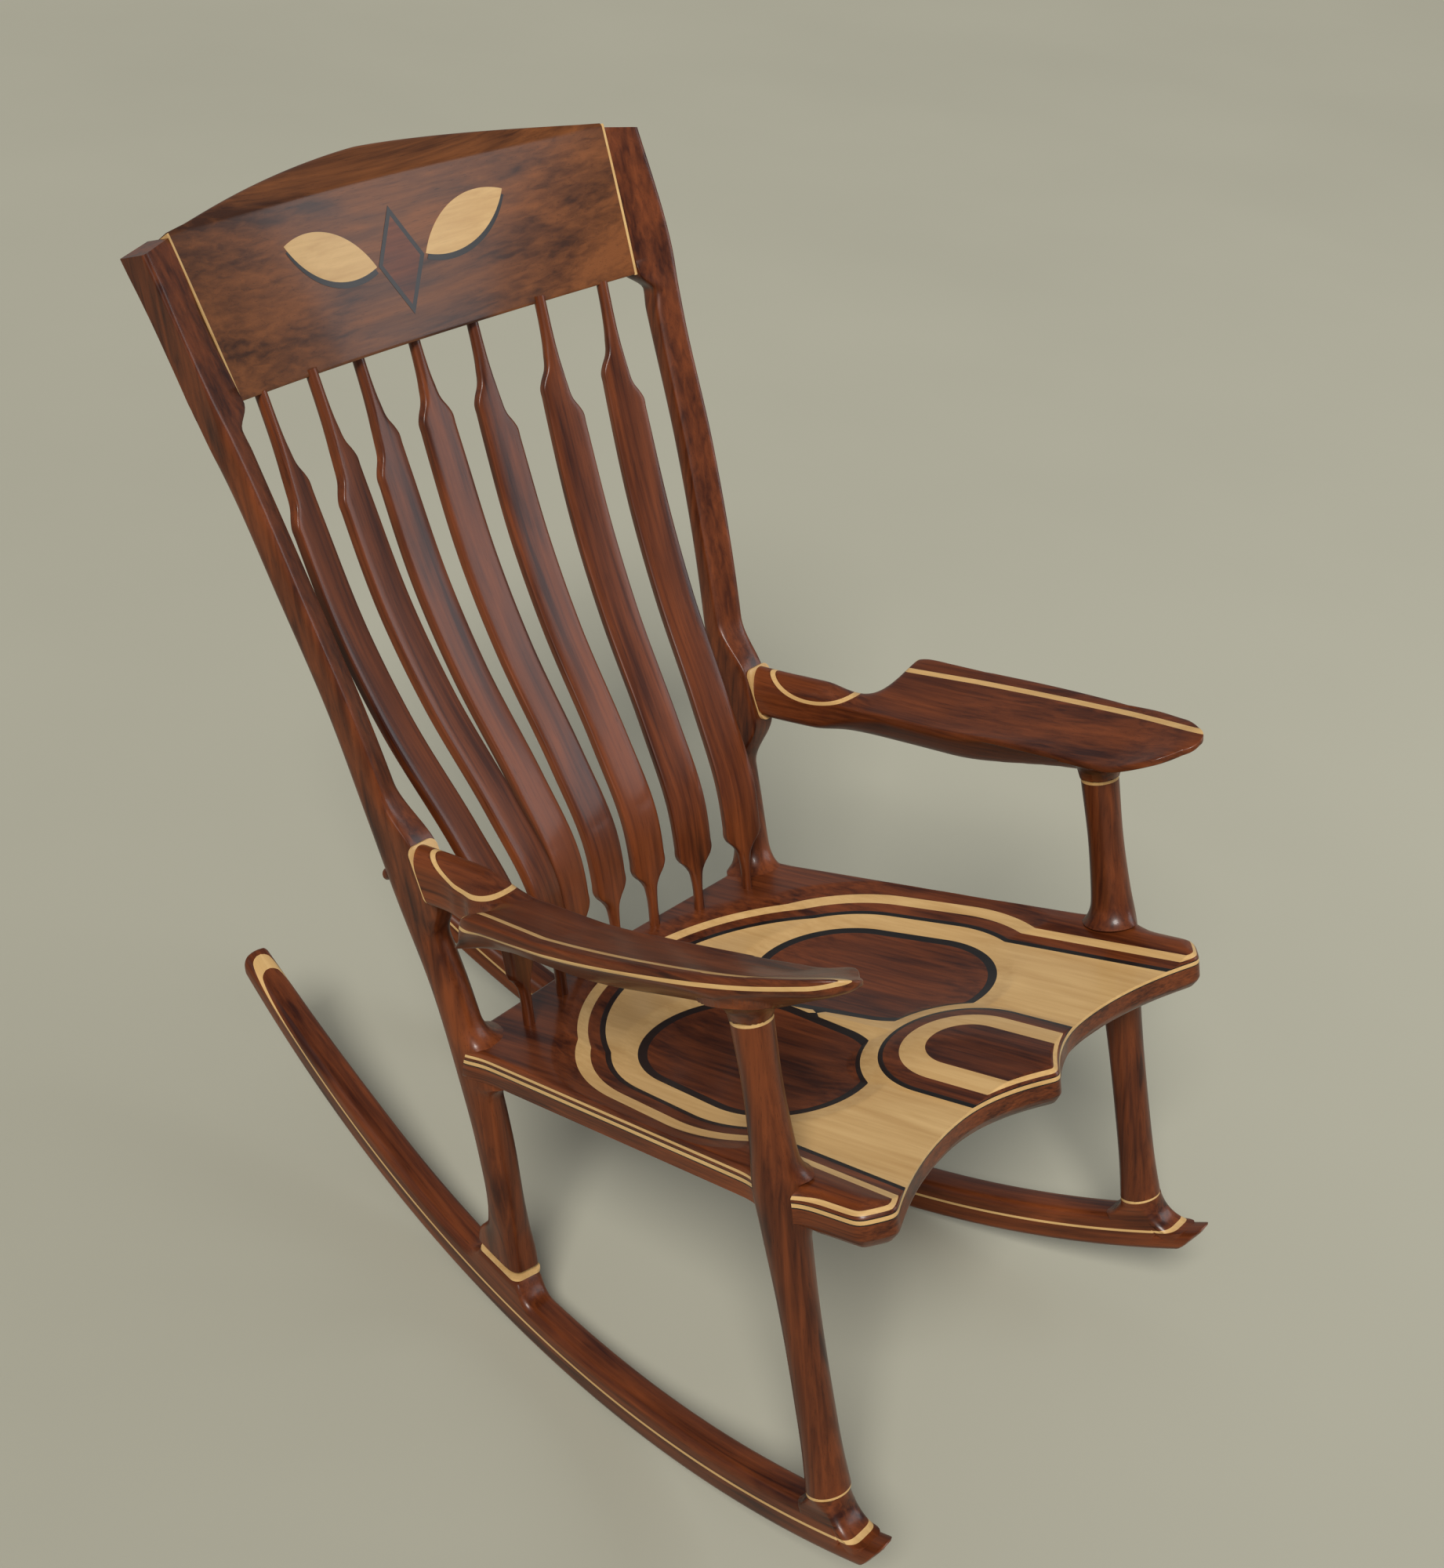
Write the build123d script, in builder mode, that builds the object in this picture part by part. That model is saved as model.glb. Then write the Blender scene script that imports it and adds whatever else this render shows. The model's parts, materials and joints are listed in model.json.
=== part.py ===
"""Sculpted walnut rocking chair with pale stringing.

Millimetres. +X is the sitter's left, the front faces -Y and +Z is up from the floor. The origin lies on the floor
under the middle of the chair's box. The chair is laid out in its upright setting, with lengths called "back" counted
backwards from the line on which the rockers touch the floor. At the end every piece is turned about the rocking axis
into the setting in which the empty chair stands.
"""

from math import asin, atan2, cos, degrees, radians, sin
import os

from build123d import *

os.makedirs("parts", exist_ok=True)

# Frame
CONTACT_Y = -29.4  # where the rockers touch the floor
REST_TILT = 10.5  # how far the empty chair lies back on its rockers from its upright setting
REACH = 1500.0  # longer than any piece, for cutting blocks

# Rockers
ROCKER_RADIUS = 1085.0  # sole, about the rocking axis
ROCKER_WIDTH = 38.0
ROCKER_DEPTH = 44.0
SOLE_THICKNESS = 22.5  # lower lamination
LINE_THICKNESS = 3.0  # maple line between the laminations
FRONT_BLOCK_HEIGHT = 60.0  # sole to the top of a leg block
REAR_BLOCK_HEIGHT = 66.0
BLOCK_BLEND = 24.0
TOE_BACK = -326.0
SOLE_START = -297.0
TOE_THICKNESS = 21.0
TAIL_BACK = 716.0
TAIL_TAPER_BACK = 480.0
TAIL_ROUNDING = 22.0
FRONT_FOOT = (285.0, -245.0)  # sideways and back
REAR_FOOT = (204.0, 246.0)

# Legs
RING_THICKNESS = 3.0
FRONT_FOOT_WIDTH = 43.0
REAR_FOOT_LENGTH = 68.0
FRONT_LEG_TOP = (286.5, -188.0, 580.0)
LEG_PROFILE = (  # share of the leg's length above the foot ring, and diameter
    (-0.08, 45.0),
    (0.0, 43.0),
    (0.06, 39.5),
    (0.20, 37.0),
    (0.42, 38.5),
    (0.58, 45.0),
    (0.66, 48.0),
    (0.75, 41.0),
    (0.86, 36.5),
    (1.0, 39.0),
    (1.06, 44.0),
)
POST_ROUNDING = 9.0
POST_FOOT = (  # sideways, back, height, width, depth, how much thinner the inner edge is, turn about the upright
    (203.0, 249.0, 68.0, 38.0, 74.0, 0.0, 9.4),
    (204.5, 246.0, 102.0, 38.0, 66.0, 0.0, 9.4),
    (208.5, 237.0, 136.0, 37.0, 46.0, 0.0, 8.0),
    (214.0, 230.5, 170.0, 36.0, 39.0, 1.0, 5.0),
)
POST_SHAFT = (
    (214.0, 230.5, 170.0, 36.0, 39.0, 1.0, 5.0),
    (222.5, 227.0, 260.0, 36.0, 37.0, 2.0, 0.0),
    (230.5, 232.5, 350.0, 36.0, 38.0, 2.0, -2.0),
    (238.0, 248.0, 450.0, 35.0, 38.0, 4.0, -3.0),
    (249.0, 269.0, 550.0, 34.0, 38.0, 8.0, -3.0),
    (261.5, 284.0, 650.0, 33.0, 38.0, 12.0, -3.0),
    (273.0, 303.0, 750.0, 32.0, 37.0, 14.0, -3.0),
    (287.0, 332.0, 860.0, 32.0, 36.0, 13.0, -4.0),
    (303.5, 377.0, 1003.0, 32.0, 37.0, 10.0, -8.0),
)
POST_HEAD = (
    (303.5, 377.0, 1003.0, 32.0, 37.0, 10.0, -8.0),
    (307.0, 386.0, 1030.0, 33.0, 35.0, 6.0, -12.0),
    (301.0, 393.0, 1048.0, 48.0, 34.0, 0.0, -17.0),
    (316.0, 454.0, 1215.0, 44.0, 34.0, 0.0, -18.0),
)
POST_TOP = ((313.0, 437.0, 1193.0), (0.21, 0.19, 1.0))  # point and normal of the sloping end
POST_NOSE = (  # distance behind the arm plate, width, height of the horn that carries the arm
    (0.0, 36.0, 60.0),
    (12.0, 35.5, 66.0),
    (24.0, 34.0, 84.0),
    (36.0, 30.0, 130.0),
)
ARM_PLATE = (261.0, 232.5, 594.0)  # middle of the glue face between post and arm
ARM_PLATE_LEAN = 18.0

# Arms: plan outlines of the two edges, sideways and back
ARM_INNER_EDGE = ((242, 240), (246, 180), (255, 110), (258, 20), (255, -80), (246, -170), (238, -235), (248, -278))
ARM_OUTER_EDGE = (
    (306, -292),
    (330, -222),
    (349, -129),
    (360, -30),
    (361, 40),
    (354, 98),
    (330, 128),
    (297, 146),
    (283, 180),
    (280, 240),
)
ARM_TIP = (284, -304)
ARM_LINE = 3.0
ARM_STRIP_PLANE = ((286.0, -303.0, 656.0), (0.581, -0.022, 0.813))  # point and normal of the edge strip's glue face
ARM_CAP_RADIUS = 96.0
ARM_CAP_AXIS = (157.0, 699.5)  # back and height

# Pegs, screws and plugs
DOWEL_DIAMETER = 12.0
DOWEL_DEPTH = 28.0
ARM_DOWEL_TOP = 22.0
SCREW_DIAMETER = 6.0
SCREW_GRIP = 40.0
SCREW_HEAD = 44.0
PLUG_DIAMETER = 12.0
PLUG_END = 66.0
CREST_DOWEL_DIAMETER = 10.0
CREST_DOWEL_REACH = 20.0  # into the post and into the crest
CREST_DOWELS = ((280.5, 418.0, 1085.0), (289.0, 441.0, 1160.0))
SEAT_PEG_DIAMETER = 10.0
SEAT_PEG_REACH = 22.0
SEAT_PEGS = ((262.0, -208.0, 391.0), (218.0, 236.0, 360.0))  # middles, front leg and post

# Crest: front face and top ridge at the middle and at the posts
CREST_END = ((276.0, 1045.0), (293.0, 1197.0))  # sideways and height of the joint with the post
CREST_THICKNESS = 27.0
CREST_VENEER = 2.5
CREST_STATIONS = (0.0, 100.0, 200.0, 262.0, 312.0)

# Crest inlay: a pair of leaves with a dark lower edge about a lozenge
INLAY_DEPTH = 3.0
INLAY_HEIGHT = 1112.0
LEAF_ROOT = 34.0
LEAF_TIP = 150.0
LEAF_RISE = 44.0
LEAF_SWELL = 24.0
LEAF_SHADOW = 6.0
LOZENGE = (26.0, 44.0)  # half width and half height
LOZENGE_BORDER = 5.0

# Slats: sideways and back at the seat, sideways and back at the crest
SLATS = (
    ((0.0, 241.0), (0.0, 454.0)),
    ((59.0, 238.0), (81.0, 451.0)),
    ((112.0, 218.0), (163.0, 435.0)),
    ((178.0, 203.0), (242.0, 414.0)),
)
SLAT_FOOT = 372.0
SLAT_HEAD = 1045.0
SLAT_THICKNESS = 12.0
SLAT_WIDTH = 44.0
SLAT_NECK = 12.0
SHOULDER_DROP = 34.0
SLAT_BEND = (  # back and height of the middle slat's front face, from the seat up
    (236, 372),
    (239, 441),
    (249, 517),
    (287, 598),
    (348, 710),
    (384, 795),
    (419, 913),
    (452, 1045),
)

# Seat
SEAT_SLOPE = 0.075  # fall per millimetre backwards
SEAT_FRONT = -321.0
SEAT_CORNERS = (  # left half of the plan from the middle of the rear edge to the front corner, sideways and back
    (0.0, 256.0),
    (185.0, 248.0),
    (244.0, 248.0),
    (250.0, 190.0),
    (293.0, -238.0),
    (293.0, -300.0),
    (265.0, SEAT_FRONT),
)
SCALLOP = (105.0, -279.0)  # deepest point of the scalloped front
SEAT_FRONT_HEIGHT = 416.0  # middle of the lower string at the front edge
SEAT_RIM = 14.0  # top face above the lower string
SEAT_BASE = -32.0
SEAT_NOSE = 9.0  # bevel along the top of the scalloped front
SEAT_UNDERCUT = (40.0, 14.0)  # bevel under the sides: inwards and upwards
DISH_BACK = -12.0  # middle of the arch that bounds the dish
DISH_SPREAD = 4.8  # degrees by which each side of the dish opens towards the front
DISH_PROFILE = ((186.0, 0.5), (200.0, 1.3), (216.0, 4.4), (233.0, 9.4), (246.0, 13.0), (256.0, 14.5))  # radius, level
HOLLOW_RADIUS = 700.0  # the two deeper hollows of the dish
HOLLOW_DEPTH = 9.0
HOLLOW_ENDS = ((92.0, 10.0), (104.0, -70.0))  # sideways and back
POMMEL_RADIUS = 430.0
POMMEL_HEIGHT = 10.0
POMMEL_ENDS = ((0.0, -215.0), (0.0, -290.0))
DISH_OVERLAP = 35.0  # how far the two straight halves reach over the middle
DISH_TOP = 60.0  # level to which the dish's cutter is carried up
LONG_EDGE = 300.0  # only the two side edges of the underside are longer and further out than these
SIDE_REACH = 200.0
SEAT_LEVELS = (8.6, 5.4, 2.6, 1.6, -2.4, -3.6)  # glue faces between the layers from the top down
SEAT_LAYERS = (
    "seat_top_walnut",
    "seat_string_maple",
    "seat_middle_walnut",
    "seat_upper_ebony",
    "seat_field_maple",
    "seat_lower_ebony",
    "seat_base_walnut",
)


def spot(x, back, z):
    """A point whose second value is counted backwards from the line of contact with the floor."""
    return Vector(x, back + CONTACT_Y, z)


def on_arc(radius, angle):
    """Side-view point at a radius from the rocking axis; angle 0 is straight down and grows to the rear."""
    return (radius * sin(radians(angle)), -radius * cos(radians(angle)))


def angle_at(radius, back):
    """Angle on a circle about the rocking axis at a distance behind the line of contact."""
    return degrees(asin(back / radius))


# ---------------------------------------------------------------- rockers
ROCKING_AXIS = Plane(origin=spot(0, 0, ROCKER_RADIUS), x_dir=(0, 1, 0), z_dir=(1, 0, 0))
ROCKER_TOP = ROCKER_RADIUS - ROCKER_DEPTH
FRONT_BLOCK = ROCKER_RADIUS - FRONT_BLOCK_HEIGHT
REAR_BLOCK = ROCKER_RADIUS - REAR_BLOCK_HEIGHT
LINE_OUTER = ROCKER_RADIUS - SOLE_THICKNESS
LINE_INNER = LINE_OUTER - LINE_THICKNESS
TOE_TOP = ROCKER_RADIUS - TOE_THICKNESS

rocker_turn = atan2(FRONT_FOOT[0] - REAR_FOOT[0], REAR_FOOT[1] - FRONT_FOOT[1])

front_angle = angle_at(FRONT_BLOCK, FRONT_FOOT[1])
rear_angle = angle_at(REAR_BLOCK, REAR_FOOT[1])
front_spread = degrees(FRONT_FOOT_WIDTH / 2 / FRONT_BLOCK)
rear_spread = degrees(REAR_FOOT_LENGTH / 2 / REAR_BLOCK)
blend_spread = degrees(BLOCK_BLEND / FRONT_BLOCK)
front_start = front_angle - front_spread
front_end = front_angle + front_spread
rear_start = rear_angle - rear_spread
rear_end = rear_angle + rear_spread
toe_angle = angle_at(TOE_TOP, TOE_BACK)
sole_start = angle_at(ROCKER_RADIUS, SOLE_START)
taper_angle = angle_at(ROCKER_TOP, TAIL_TAPER_BACK)
tail_angle = angle_at(TOE_TOP, TAIL_BACK)
sole_end = tail_angle - degrees(TAIL_ROUNDING / ROCKER_RADIUS)


def foot_plane(foot, radius, angle):
    """Plane square to the radius at a foot, with its x axis along the rocker."""
    back, rise_from_axis = on_arc(radius, angle)
    tilt = radians(angle)
    along = (-sin(rocker_turn), cos(rocker_turn) * cos(tilt), cos(rocker_turn) * sin(tilt))
    centre = spot(foot[0], back, ROCKER_RADIUS + rise_from_axis)
    return Plane(origin=centre, x_dir=along, z_dir=(0, -sin(tilt), cos(tilt)))


def arc(radius, start, end):
    """Side-view arc about the rocking axis, drawn into the current line."""
    return ThreePointArc(on_arc(radius, start), on_arc(radius, (start + end) / 2), on_arc(radius, end))


def rise(low, start, high, end):
    """Hollow curve from an arc of radius low up to the corner of a leg block of radius high."""
    return Spline(
        on_arc(low, start),
        on_arc(high, end),
        tangents=(on_arc(1.0, start + 90.0), on_arc(1.0, end + 180.0)),
    )


def fall(high, start, low, end):
    """Hollow curve from the corner of a leg block of radius high down to an arc of radius low."""
    return Spline(
        on_arc(high, start),
        on_arc(low, end),
        tangents=(on_arc(1.0, start), on_arc(1.0, end + 90.0)),
    )


with BuildSketch() as rocker_outline:
    with BuildLine():
        arc(ROCKER_RADIUS, sole_start, sole_end)
        Line(on_arc(ROCKER_RADIUS, sole_start), on_arc(TOE_TOP, toe_angle))
        arc(TOE_TOP, toe_angle, front_start - blend_spread)
        rise(TOE_TOP, front_start - blend_spread, FRONT_BLOCK, front_start)
        Line(on_arc(FRONT_BLOCK, front_start), on_arc(FRONT_BLOCK, front_end))
        fall(FRONT_BLOCK, front_end, ROCKER_TOP, front_end + blend_spread)
        arc(ROCKER_TOP, front_end + blend_spread, rear_start - blend_spread)
        rise(ROCKER_TOP, rear_start - blend_spread, REAR_BLOCK, rear_start)
        Line(on_arc(REAR_BLOCK, rear_start), on_arc(REAR_BLOCK, rear_end))
        fall(REAR_BLOCK, rear_end, ROCKER_TOP, rear_end + blend_spread)
        arc(ROCKER_TOP, rear_end + blend_spread, taper_angle)
        Spline(
            on_arc(ROCKER_TOP, taper_angle),
            on_arc(TOE_TOP, tail_angle),
            tangents=(on_arc(1.0, taper_angle + 90.0), on_arc(1.0, tail_angle + 84.0)),
        )
        Spline(
            on_arc(TOE_TOP, tail_angle),
            on_arc(ROCKER_RADIUS, sole_end),
            tangents=(on_arc(1.0, tail_angle + 30.0), on_arc(1.0, sole_end - 90.0)),
        )
    make_face()


def rocker_lamination(outer, inner):
    """The part of one rocker between two radii from the rocking axis."""
    with BuildPart() as lamination:
        with BuildSketch(ROCKING_AXIS):
            add(rocker_outline.sketch)
            Circle(outer, mode=Mode.INTERSECT)
            Circle(inner, mode=Mode.SUBTRACT)
        extrude(amount=REACH, both=True)
        plan = Plane(origin=spot(FRONT_FOOT[0], FRONT_FOOT[1], 0), x_dir=(cos(rocker_turn), sin(rocker_turn), 0))
        with BuildSketch(plan):
            Rectangle(ROCKER_WIDTH, 3 * REACH)
        extrude(amount=REACH, mode=Mode.INTERSECT)
    return lamination


# ---------------------------------------------------------------- front legs
front_block_plane = foot_plane(FRONT_FOOT, FRONT_BLOCK * cos(radians(front_spread)), front_angle)
rear_block_plane = foot_plane(REAR_FOOT, REAR_BLOCK * cos(radians(rear_spread)), rear_angle)
front_foot_plane = front_block_plane.offset(RING_THICKNESS)
rear_foot_plane = rear_block_plane.offset(RING_THICKNESS)

leg_start = front_foot_plane.origin
leg_end = spot(*FRONT_LEG_TOP)
leg_axis = Axis(leg_start, leg_end - leg_start)
leg_length = (leg_end - leg_start).length
leg_side = Vector(1, 0, 0).cross(leg_axis.direction)
leg_profile_plane = Plane(origin=leg_start, x_dir=leg_axis.direction.cross(leg_side), z_dir=leg_side)
leg_top_plane = Plane(origin=leg_end, x_dir=(1, 0, 0), z_dir=leg_axis.direction)
arm_seat_plane = leg_top_plane.offset(RING_THICKNESS)


def front_leg_slice(lower, upper):
    """The turned front leg's blank between two planes."""
    with BuildPart() as piece:
        with BuildSketch(leg_profile_plane):
            with BuildLine():
                edge = Spline(*[(width / 2, share * leg_length) for share, width in LEG_PROFILE])
                Polyline(edge @ 0, (0, LEG_PROFILE[0][0] * leg_length), (0, LEG_PROFILE[-1][0] * leg_length), edge @ 1)
            make_face()
        revolve(axis=leg_axis)
        split(bisect_by=lower, keep=Keep.TOP)
        split(bisect_by=upper, keep=Keep.BOTTOM)
    return piece


# ---------------------------------------------------------------- back posts
def post_plane(across, back, height, turn):
    """Level plane of one post station, turned about the upright."""
    return Plane(origin=spot(across, back, height), x_dir=(cos(radians(turn)), sin(radians(turn)), 0))


arm_plate_plane = Plane(
    origin=spot(*ARM_PLATE),
    x_dir=(1, 0, 0),
    z_dir=(0, cos(radians(ARM_PLATE_LEAN)), -sin(radians(ARM_PLATE_LEAN))),
)


def post_blank():
    """The sculpted post, a little too long at both ends and full at the joints."""
    with BuildPart() as blank:
        for stations, straight in ((POST_SHAFT, False), (POST_FOOT, False), (POST_HEAD, True)):
            for across, back, height, width, depth, thinning, turn in stations:
                with BuildSketch(post_plane(across, back, height, turn)) as section:
                    inner_front = (-width / 2, thinning - depth / 2)
                    outer_front = (width / 2, -depth / 2)
                    Polygon(inner_front, outer_front, (width / 2, depth / 2), (-width / 2, depth / 2), align=None)
                    fillet(section.vertices(), POST_ROUNDING)
            loft(ruled=straight)
        for distance, width, height in POST_NOSE:
            with BuildSketch(arm_plate_plane.offset(distance)):
                RectangleRounded(width, height, POST_ROUNDING)
        loft()
    return blank


post_stock = post_blank()


# ---------------------------------------------------------------- arms
def ease(value, low, high):
    """Smooth step from 0 at low to 1 at high."""
    share = min(max((value - low) / (high - low), 0.0), 1.0)
    return share * share * (3.0 - 2.0 * share)


def steps(first, last, count):
    """Evenly spaced values with both ends."""
    return [first + (last - first) * index / (count - 1) for index in range(count)]


def skin(height, across, back, columns, rows):
    """Smooth face through the heights that a formula gives over a grid."""
    grid = [[spot(x, y, height(x, y)) for x in steps(*across, columns)] for y in steps(*back, rows)]
    return Face.make_surface_from_array_of_points(grid, tol=0.05, min_deg=3, max_deg=3)


def arm_top(x, back):
    """Dished top of the left arm, highest along its outer edge and at the tip."""
    inner = 257.0 - 18.0 * ease(-back, 0.0, 240.0)
    outer = 362.0 - 76.0 * max(-back / 304.0, 0.0) ** 2.2
    share = min(max((x - inner) / (outer - inner), 0.0), 1.2)
    paddle = 607.0 + 0.065 * max(-back, 0.0) + 30.0 * share**1.6 + 22.0 * ease(-back, 215.0, 305.0) * (1.0 - share)
    neck = 622.0 - 14.0 * ((x - 265.0) / 20.0) ** 2
    return paddle + (neck - paddle) * ease(back, 85.0, 150.0)


def arm_bottom(x, back):
    """Keeled underside of the left arm, lowest over the front leg and flat under the neck."""
    keel = 562.0 + 24.0 * ease(-back, 0.0, 190.0) + 0.5 * max(-back - 190.0, 0.0)
    side = 57.0 * max((x - 286.0) / 76.0, 0.0) ** 1.3 + 36.0 * max((286.0 - x) / 32.0, 0.0) ** 1.3
    return keel + side * (1.0 - 0.85 * ease(back, 60.0, 160.0)) * (1.0 - 0.5 * ease(-back, 230.0, 300.0))


with BuildPart() as arm_stock:
    with BuildSketch(Plane(origin=spot(0, 0, 500.0))):
        with BuildLine():
            inner_edge = Spline(*ARM_INNER_EDGE)
            outer_edge = Spline(*ARM_OUTER_EDGE)
            Spline(inner_edge @ 1, ARM_TIP, outer_edge @ 0, tangents=(inner_edge % 1, outer_edge % 0))
            Line(outer_edge @ 1, inner_edge @ 0)
        make_face()
    extrude(amount=200.0)
    extrude(skin(arm_bottom, (225, 375), (-320, 250), 16, 30), amount=150.0, dir=(0, 0, 1), mode=Mode.INTERSECT)
    extrude(skin(arm_top, (225, 375), (-320, 250), 16, 30), amount=150.0, dir=(0, 0, -1), mode=Mode.INTERSECT)
    for distance, width, height in POST_NOSE[:2]:
        with BuildSketch(arm_plate_plane.offset(-RING_THICKNESS - distance)):
            RectangleRounded(width, height, POST_ROUNDING)
    loft()
    split(bisect_by=arm_plate_plane.offset(-RING_THICKNESS), keep=Keep.BOTTOM)
    add(front_leg_slice(arm_seat_plane, arm_seat_plane.offset(12.0)).part)


# ---------------------------------------------------------------- crest
def crest_section(x):
    """Corners of the crest's upright section at one place, back and height, from the lower front edge round."""
    share = (x / CREST_END[1][0]) ** 2
    foot = (441.0 - 56.0 * share, 1032.0 + 14.0 * share)
    front = (475.0 - 36.0 * share, 1195.0 + 2.0 * share)
    ridge = (front[0] + 3.0 + 30.0 * max(1.0 - (x / 268.0) ** 2, 0.0) ** 1.2, 1222.0 - 22.0 * share**0.65)
    rear_foot = (foot[0] + CREST_THICKNESS, foot[1])
    rear_top = (rear_foot[0] + 0.31 * (ridge[1] - foot[1]), ridge[1] - 10.0)
    return (foot, front, ridge, rear_top, rear_foot)


with BuildPart() as crest_stock:
    for x in [-x for x in CREST_STATIONS[:0:-1]] + list(CREST_STATIONS):
        with BuildSketch(Plane(origin=spot(x, 0, 0), x_dir=(0, 1, 0), z_dir=(1, 0, 0))):
            with BuildLine():
                Polyline(*crest_section(x), close=True)
            make_face()
    loft()


# ---------------------------------------------------------------- slats
def slat_blank(drop):
    """Slat sawn to its bend and to its outline; drop is how much lower its outer shoulder lies."""
    start = SLAT_BEND[0][0] + SLAT_THICKNESS / 2
    half = SLAT_WIDTH / 2
    neck = SLAT_NECK / 2
    upwards = ((0, 1), (0, 1))
    with BuildPart() as blank:
        with BuildSketch(Plane(origin=(0, 0, 0), x_dir=(0, 1, 0), z_dir=(1, 0, 0))):
            with BuildLine():
                face = Spline(*[(back - start, height) for back, height in SLAT_BEND])
                rear = Spline(*[(back - start + SLAT_THICKNESS, height) for back, height in SLAT_BEND])
                Line(face @ 0, rear @ 0)
                Line(face @ 1, rear @ 1)
            make_face()
        extrude(amount=SLAT_WIDTH, both=True)
        with BuildSketch(Plane(origin=(0, 0, 0), x_dir=(1, 0, 0), z_dir=(0, -1, 0))):
            with BuildLine():
                low_in = Spline((-neck, 425), (-neck - 4, 438), (-half, 458), tangents=upwards)
                low_out = Spline((neck, 425), (neck + 4, 438), (half, 458), tangents=upwards)
                top_in = Spline((-half + 2, 955), (-neck - 3, 985), (-neck, 1012), tangents=upwards)
                top_out = Spline(
                    (half - 2, 955 - drop), (neck + 3, 985 - drop), (neck, 1012 - drop / 2), tangents=upwards
                )
                Line(low_in @ 1, top_in @ 0)
                Line(low_out @ 1, top_out @ 0)
                Polyline(low_in @ 0, (-neck, SLAT_FOOT), (neck, SLAT_FOOT), low_out @ 0)
                Polyline(top_in @ 1, (-neck, SLAT_HEAD), (neck, SLAT_HEAD), top_out @ 1)
            make_face()
        extrude(amount=REACH, both=True, mode=Mode.INTERSECT)
    return blank


def placed_slat(seat_end, crest_end):
    """One slat set on the seat and turned to lean towards its place in the crest."""
    turn = degrees(atan2(crest_end[0] - seat_end[0], crest_end[1] - seat_end[1]))
    blank = slat_blank(SHOULDER_DROP if turn > 0 else 0.0)
    foot = spot(seat_end[0], seat_end[1], 0)
    with BuildPart() as slat:
        with Locations(Location(foot, (0, 0, -turn))):
            add(blank.part)
    return slat


# ---------------------------------------------------------------- seat
def seat_level(back):
    """Height of the lower string's middle."""
    return SEAT_FRONT_HEIGHT - SEAT_SLOPE * (back - SEAT_FRONT)


def front_edge(x):
    """Distance back of the scalloped front edge, a parabola on either side of the scallop's deepest point."""
    spread = SCALLOP[0] if abs(x) < SCALLOP[0] else SEAT_CORNERS[-1][0] - SCALLOP[0]
    return SCALLOP[1] + (SEAT_FRONT - SCALLOP[1]) * ((abs(x) - SCALLOP[0]) / spread) ** 2


with BuildSketch() as seat_outline:
    with BuildLine():
        Polyline(*SEAT_CORNERS)
        ThreePointArc(SEAT_CORNERS[-1], (185, front_edge(185)), SCALLOP)
        ThreePointArc(SCALLOP, (50, front_edge(50)), (0, SEAT_FRONT))
        Line((0, SEAT_FRONT), SEAT_CORNERS[0])
    make_face()
    mirror(about=Plane.YZ)


def seat_plane(level):
    """Plane parallel to the seat's layers."""
    return Plane(origin=spot(0, 0, seat_level(0.0) + level), x_dir=(1, 0, 0), z_dir=(0, SEAT_SLOPE, 1.0))


def on_layer(x, back, level):
    """A point at a level above the lower string, measured square to the layers."""
    return spot(x, back, seat_level(back)) + seat_plane(0.0).z_dir * level


def dish_section(angle):
    """Upright plane through the middle of the dish's arch, turned about the arch's axis."""
    normal = seat_plane(0.0).z_dir
    across = Vector(1, 0, 0).rotate(Axis((0, 0, 0), normal), angle)
    return Plane(origin=on_layer(0, DISH_BACK, 0), x_dir=across, z_dir=across.cross(normal))


def long_ball(radius, level, ends):
    """A ball drawn out along the layers between two places, with its middle at a level."""
    start, end = [on_layer(x, back, level) for x, back in ends]
    with BuildPart() as ball:
        with BuildSketch(Plane(origin=start, z_dir=end - start)):
            Circle(radius)
        extrude(amount=(end - start).length)
        with Locations(start, end):
            Sphere(radius)
    return ball


# Dish: an arch with two straight sides that open towards the front, two deeper hollows and a pommel left standing
with BuildPart() as dish:
    for inner, straight in ((0.0, False), (-DISH_OVERLAP, True)):
        with BuildSketch(dish_section(DISH_SPREAD)):
            with BuildLine():
                wall = Spline(*DISH_PROFILE, tangents=((1, 0), (1, 0)))
                floor = (inner, DISH_PROFILE[0][1])
                Polyline(wall @ 0, floor, (inner, DISH_TOP), (DISH_PROFILE[-1][0], DISH_TOP), wall @ 1)
            make_face()
        if straight:
            extrude(amount=REACH)
        else:
            revolve(axis=Axis(on_layer(0, DISH_BACK, 0), seat_plane(0.0).z_dir), revolution_arc=90.0 - DISH_SPREAD)
    mirror(about=Plane.YZ)
    add(long_ball(HOLLOW_RADIUS, DISH_PROFILE[0][1] - HOLLOW_DEPTH + HOLLOW_RADIUS, HOLLOW_ENDS).part)
    mirror(about=Plane.YZ)
    pommel = long_ball(POMMEL_RADIUS, DISH_PROFILE[0][1] + POMMEL_HEIGHT - POMMEL_RADIUS, POMMEL_ENDS)
    add(pommel.part, mode=Mode.SUBTRACT)

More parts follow.
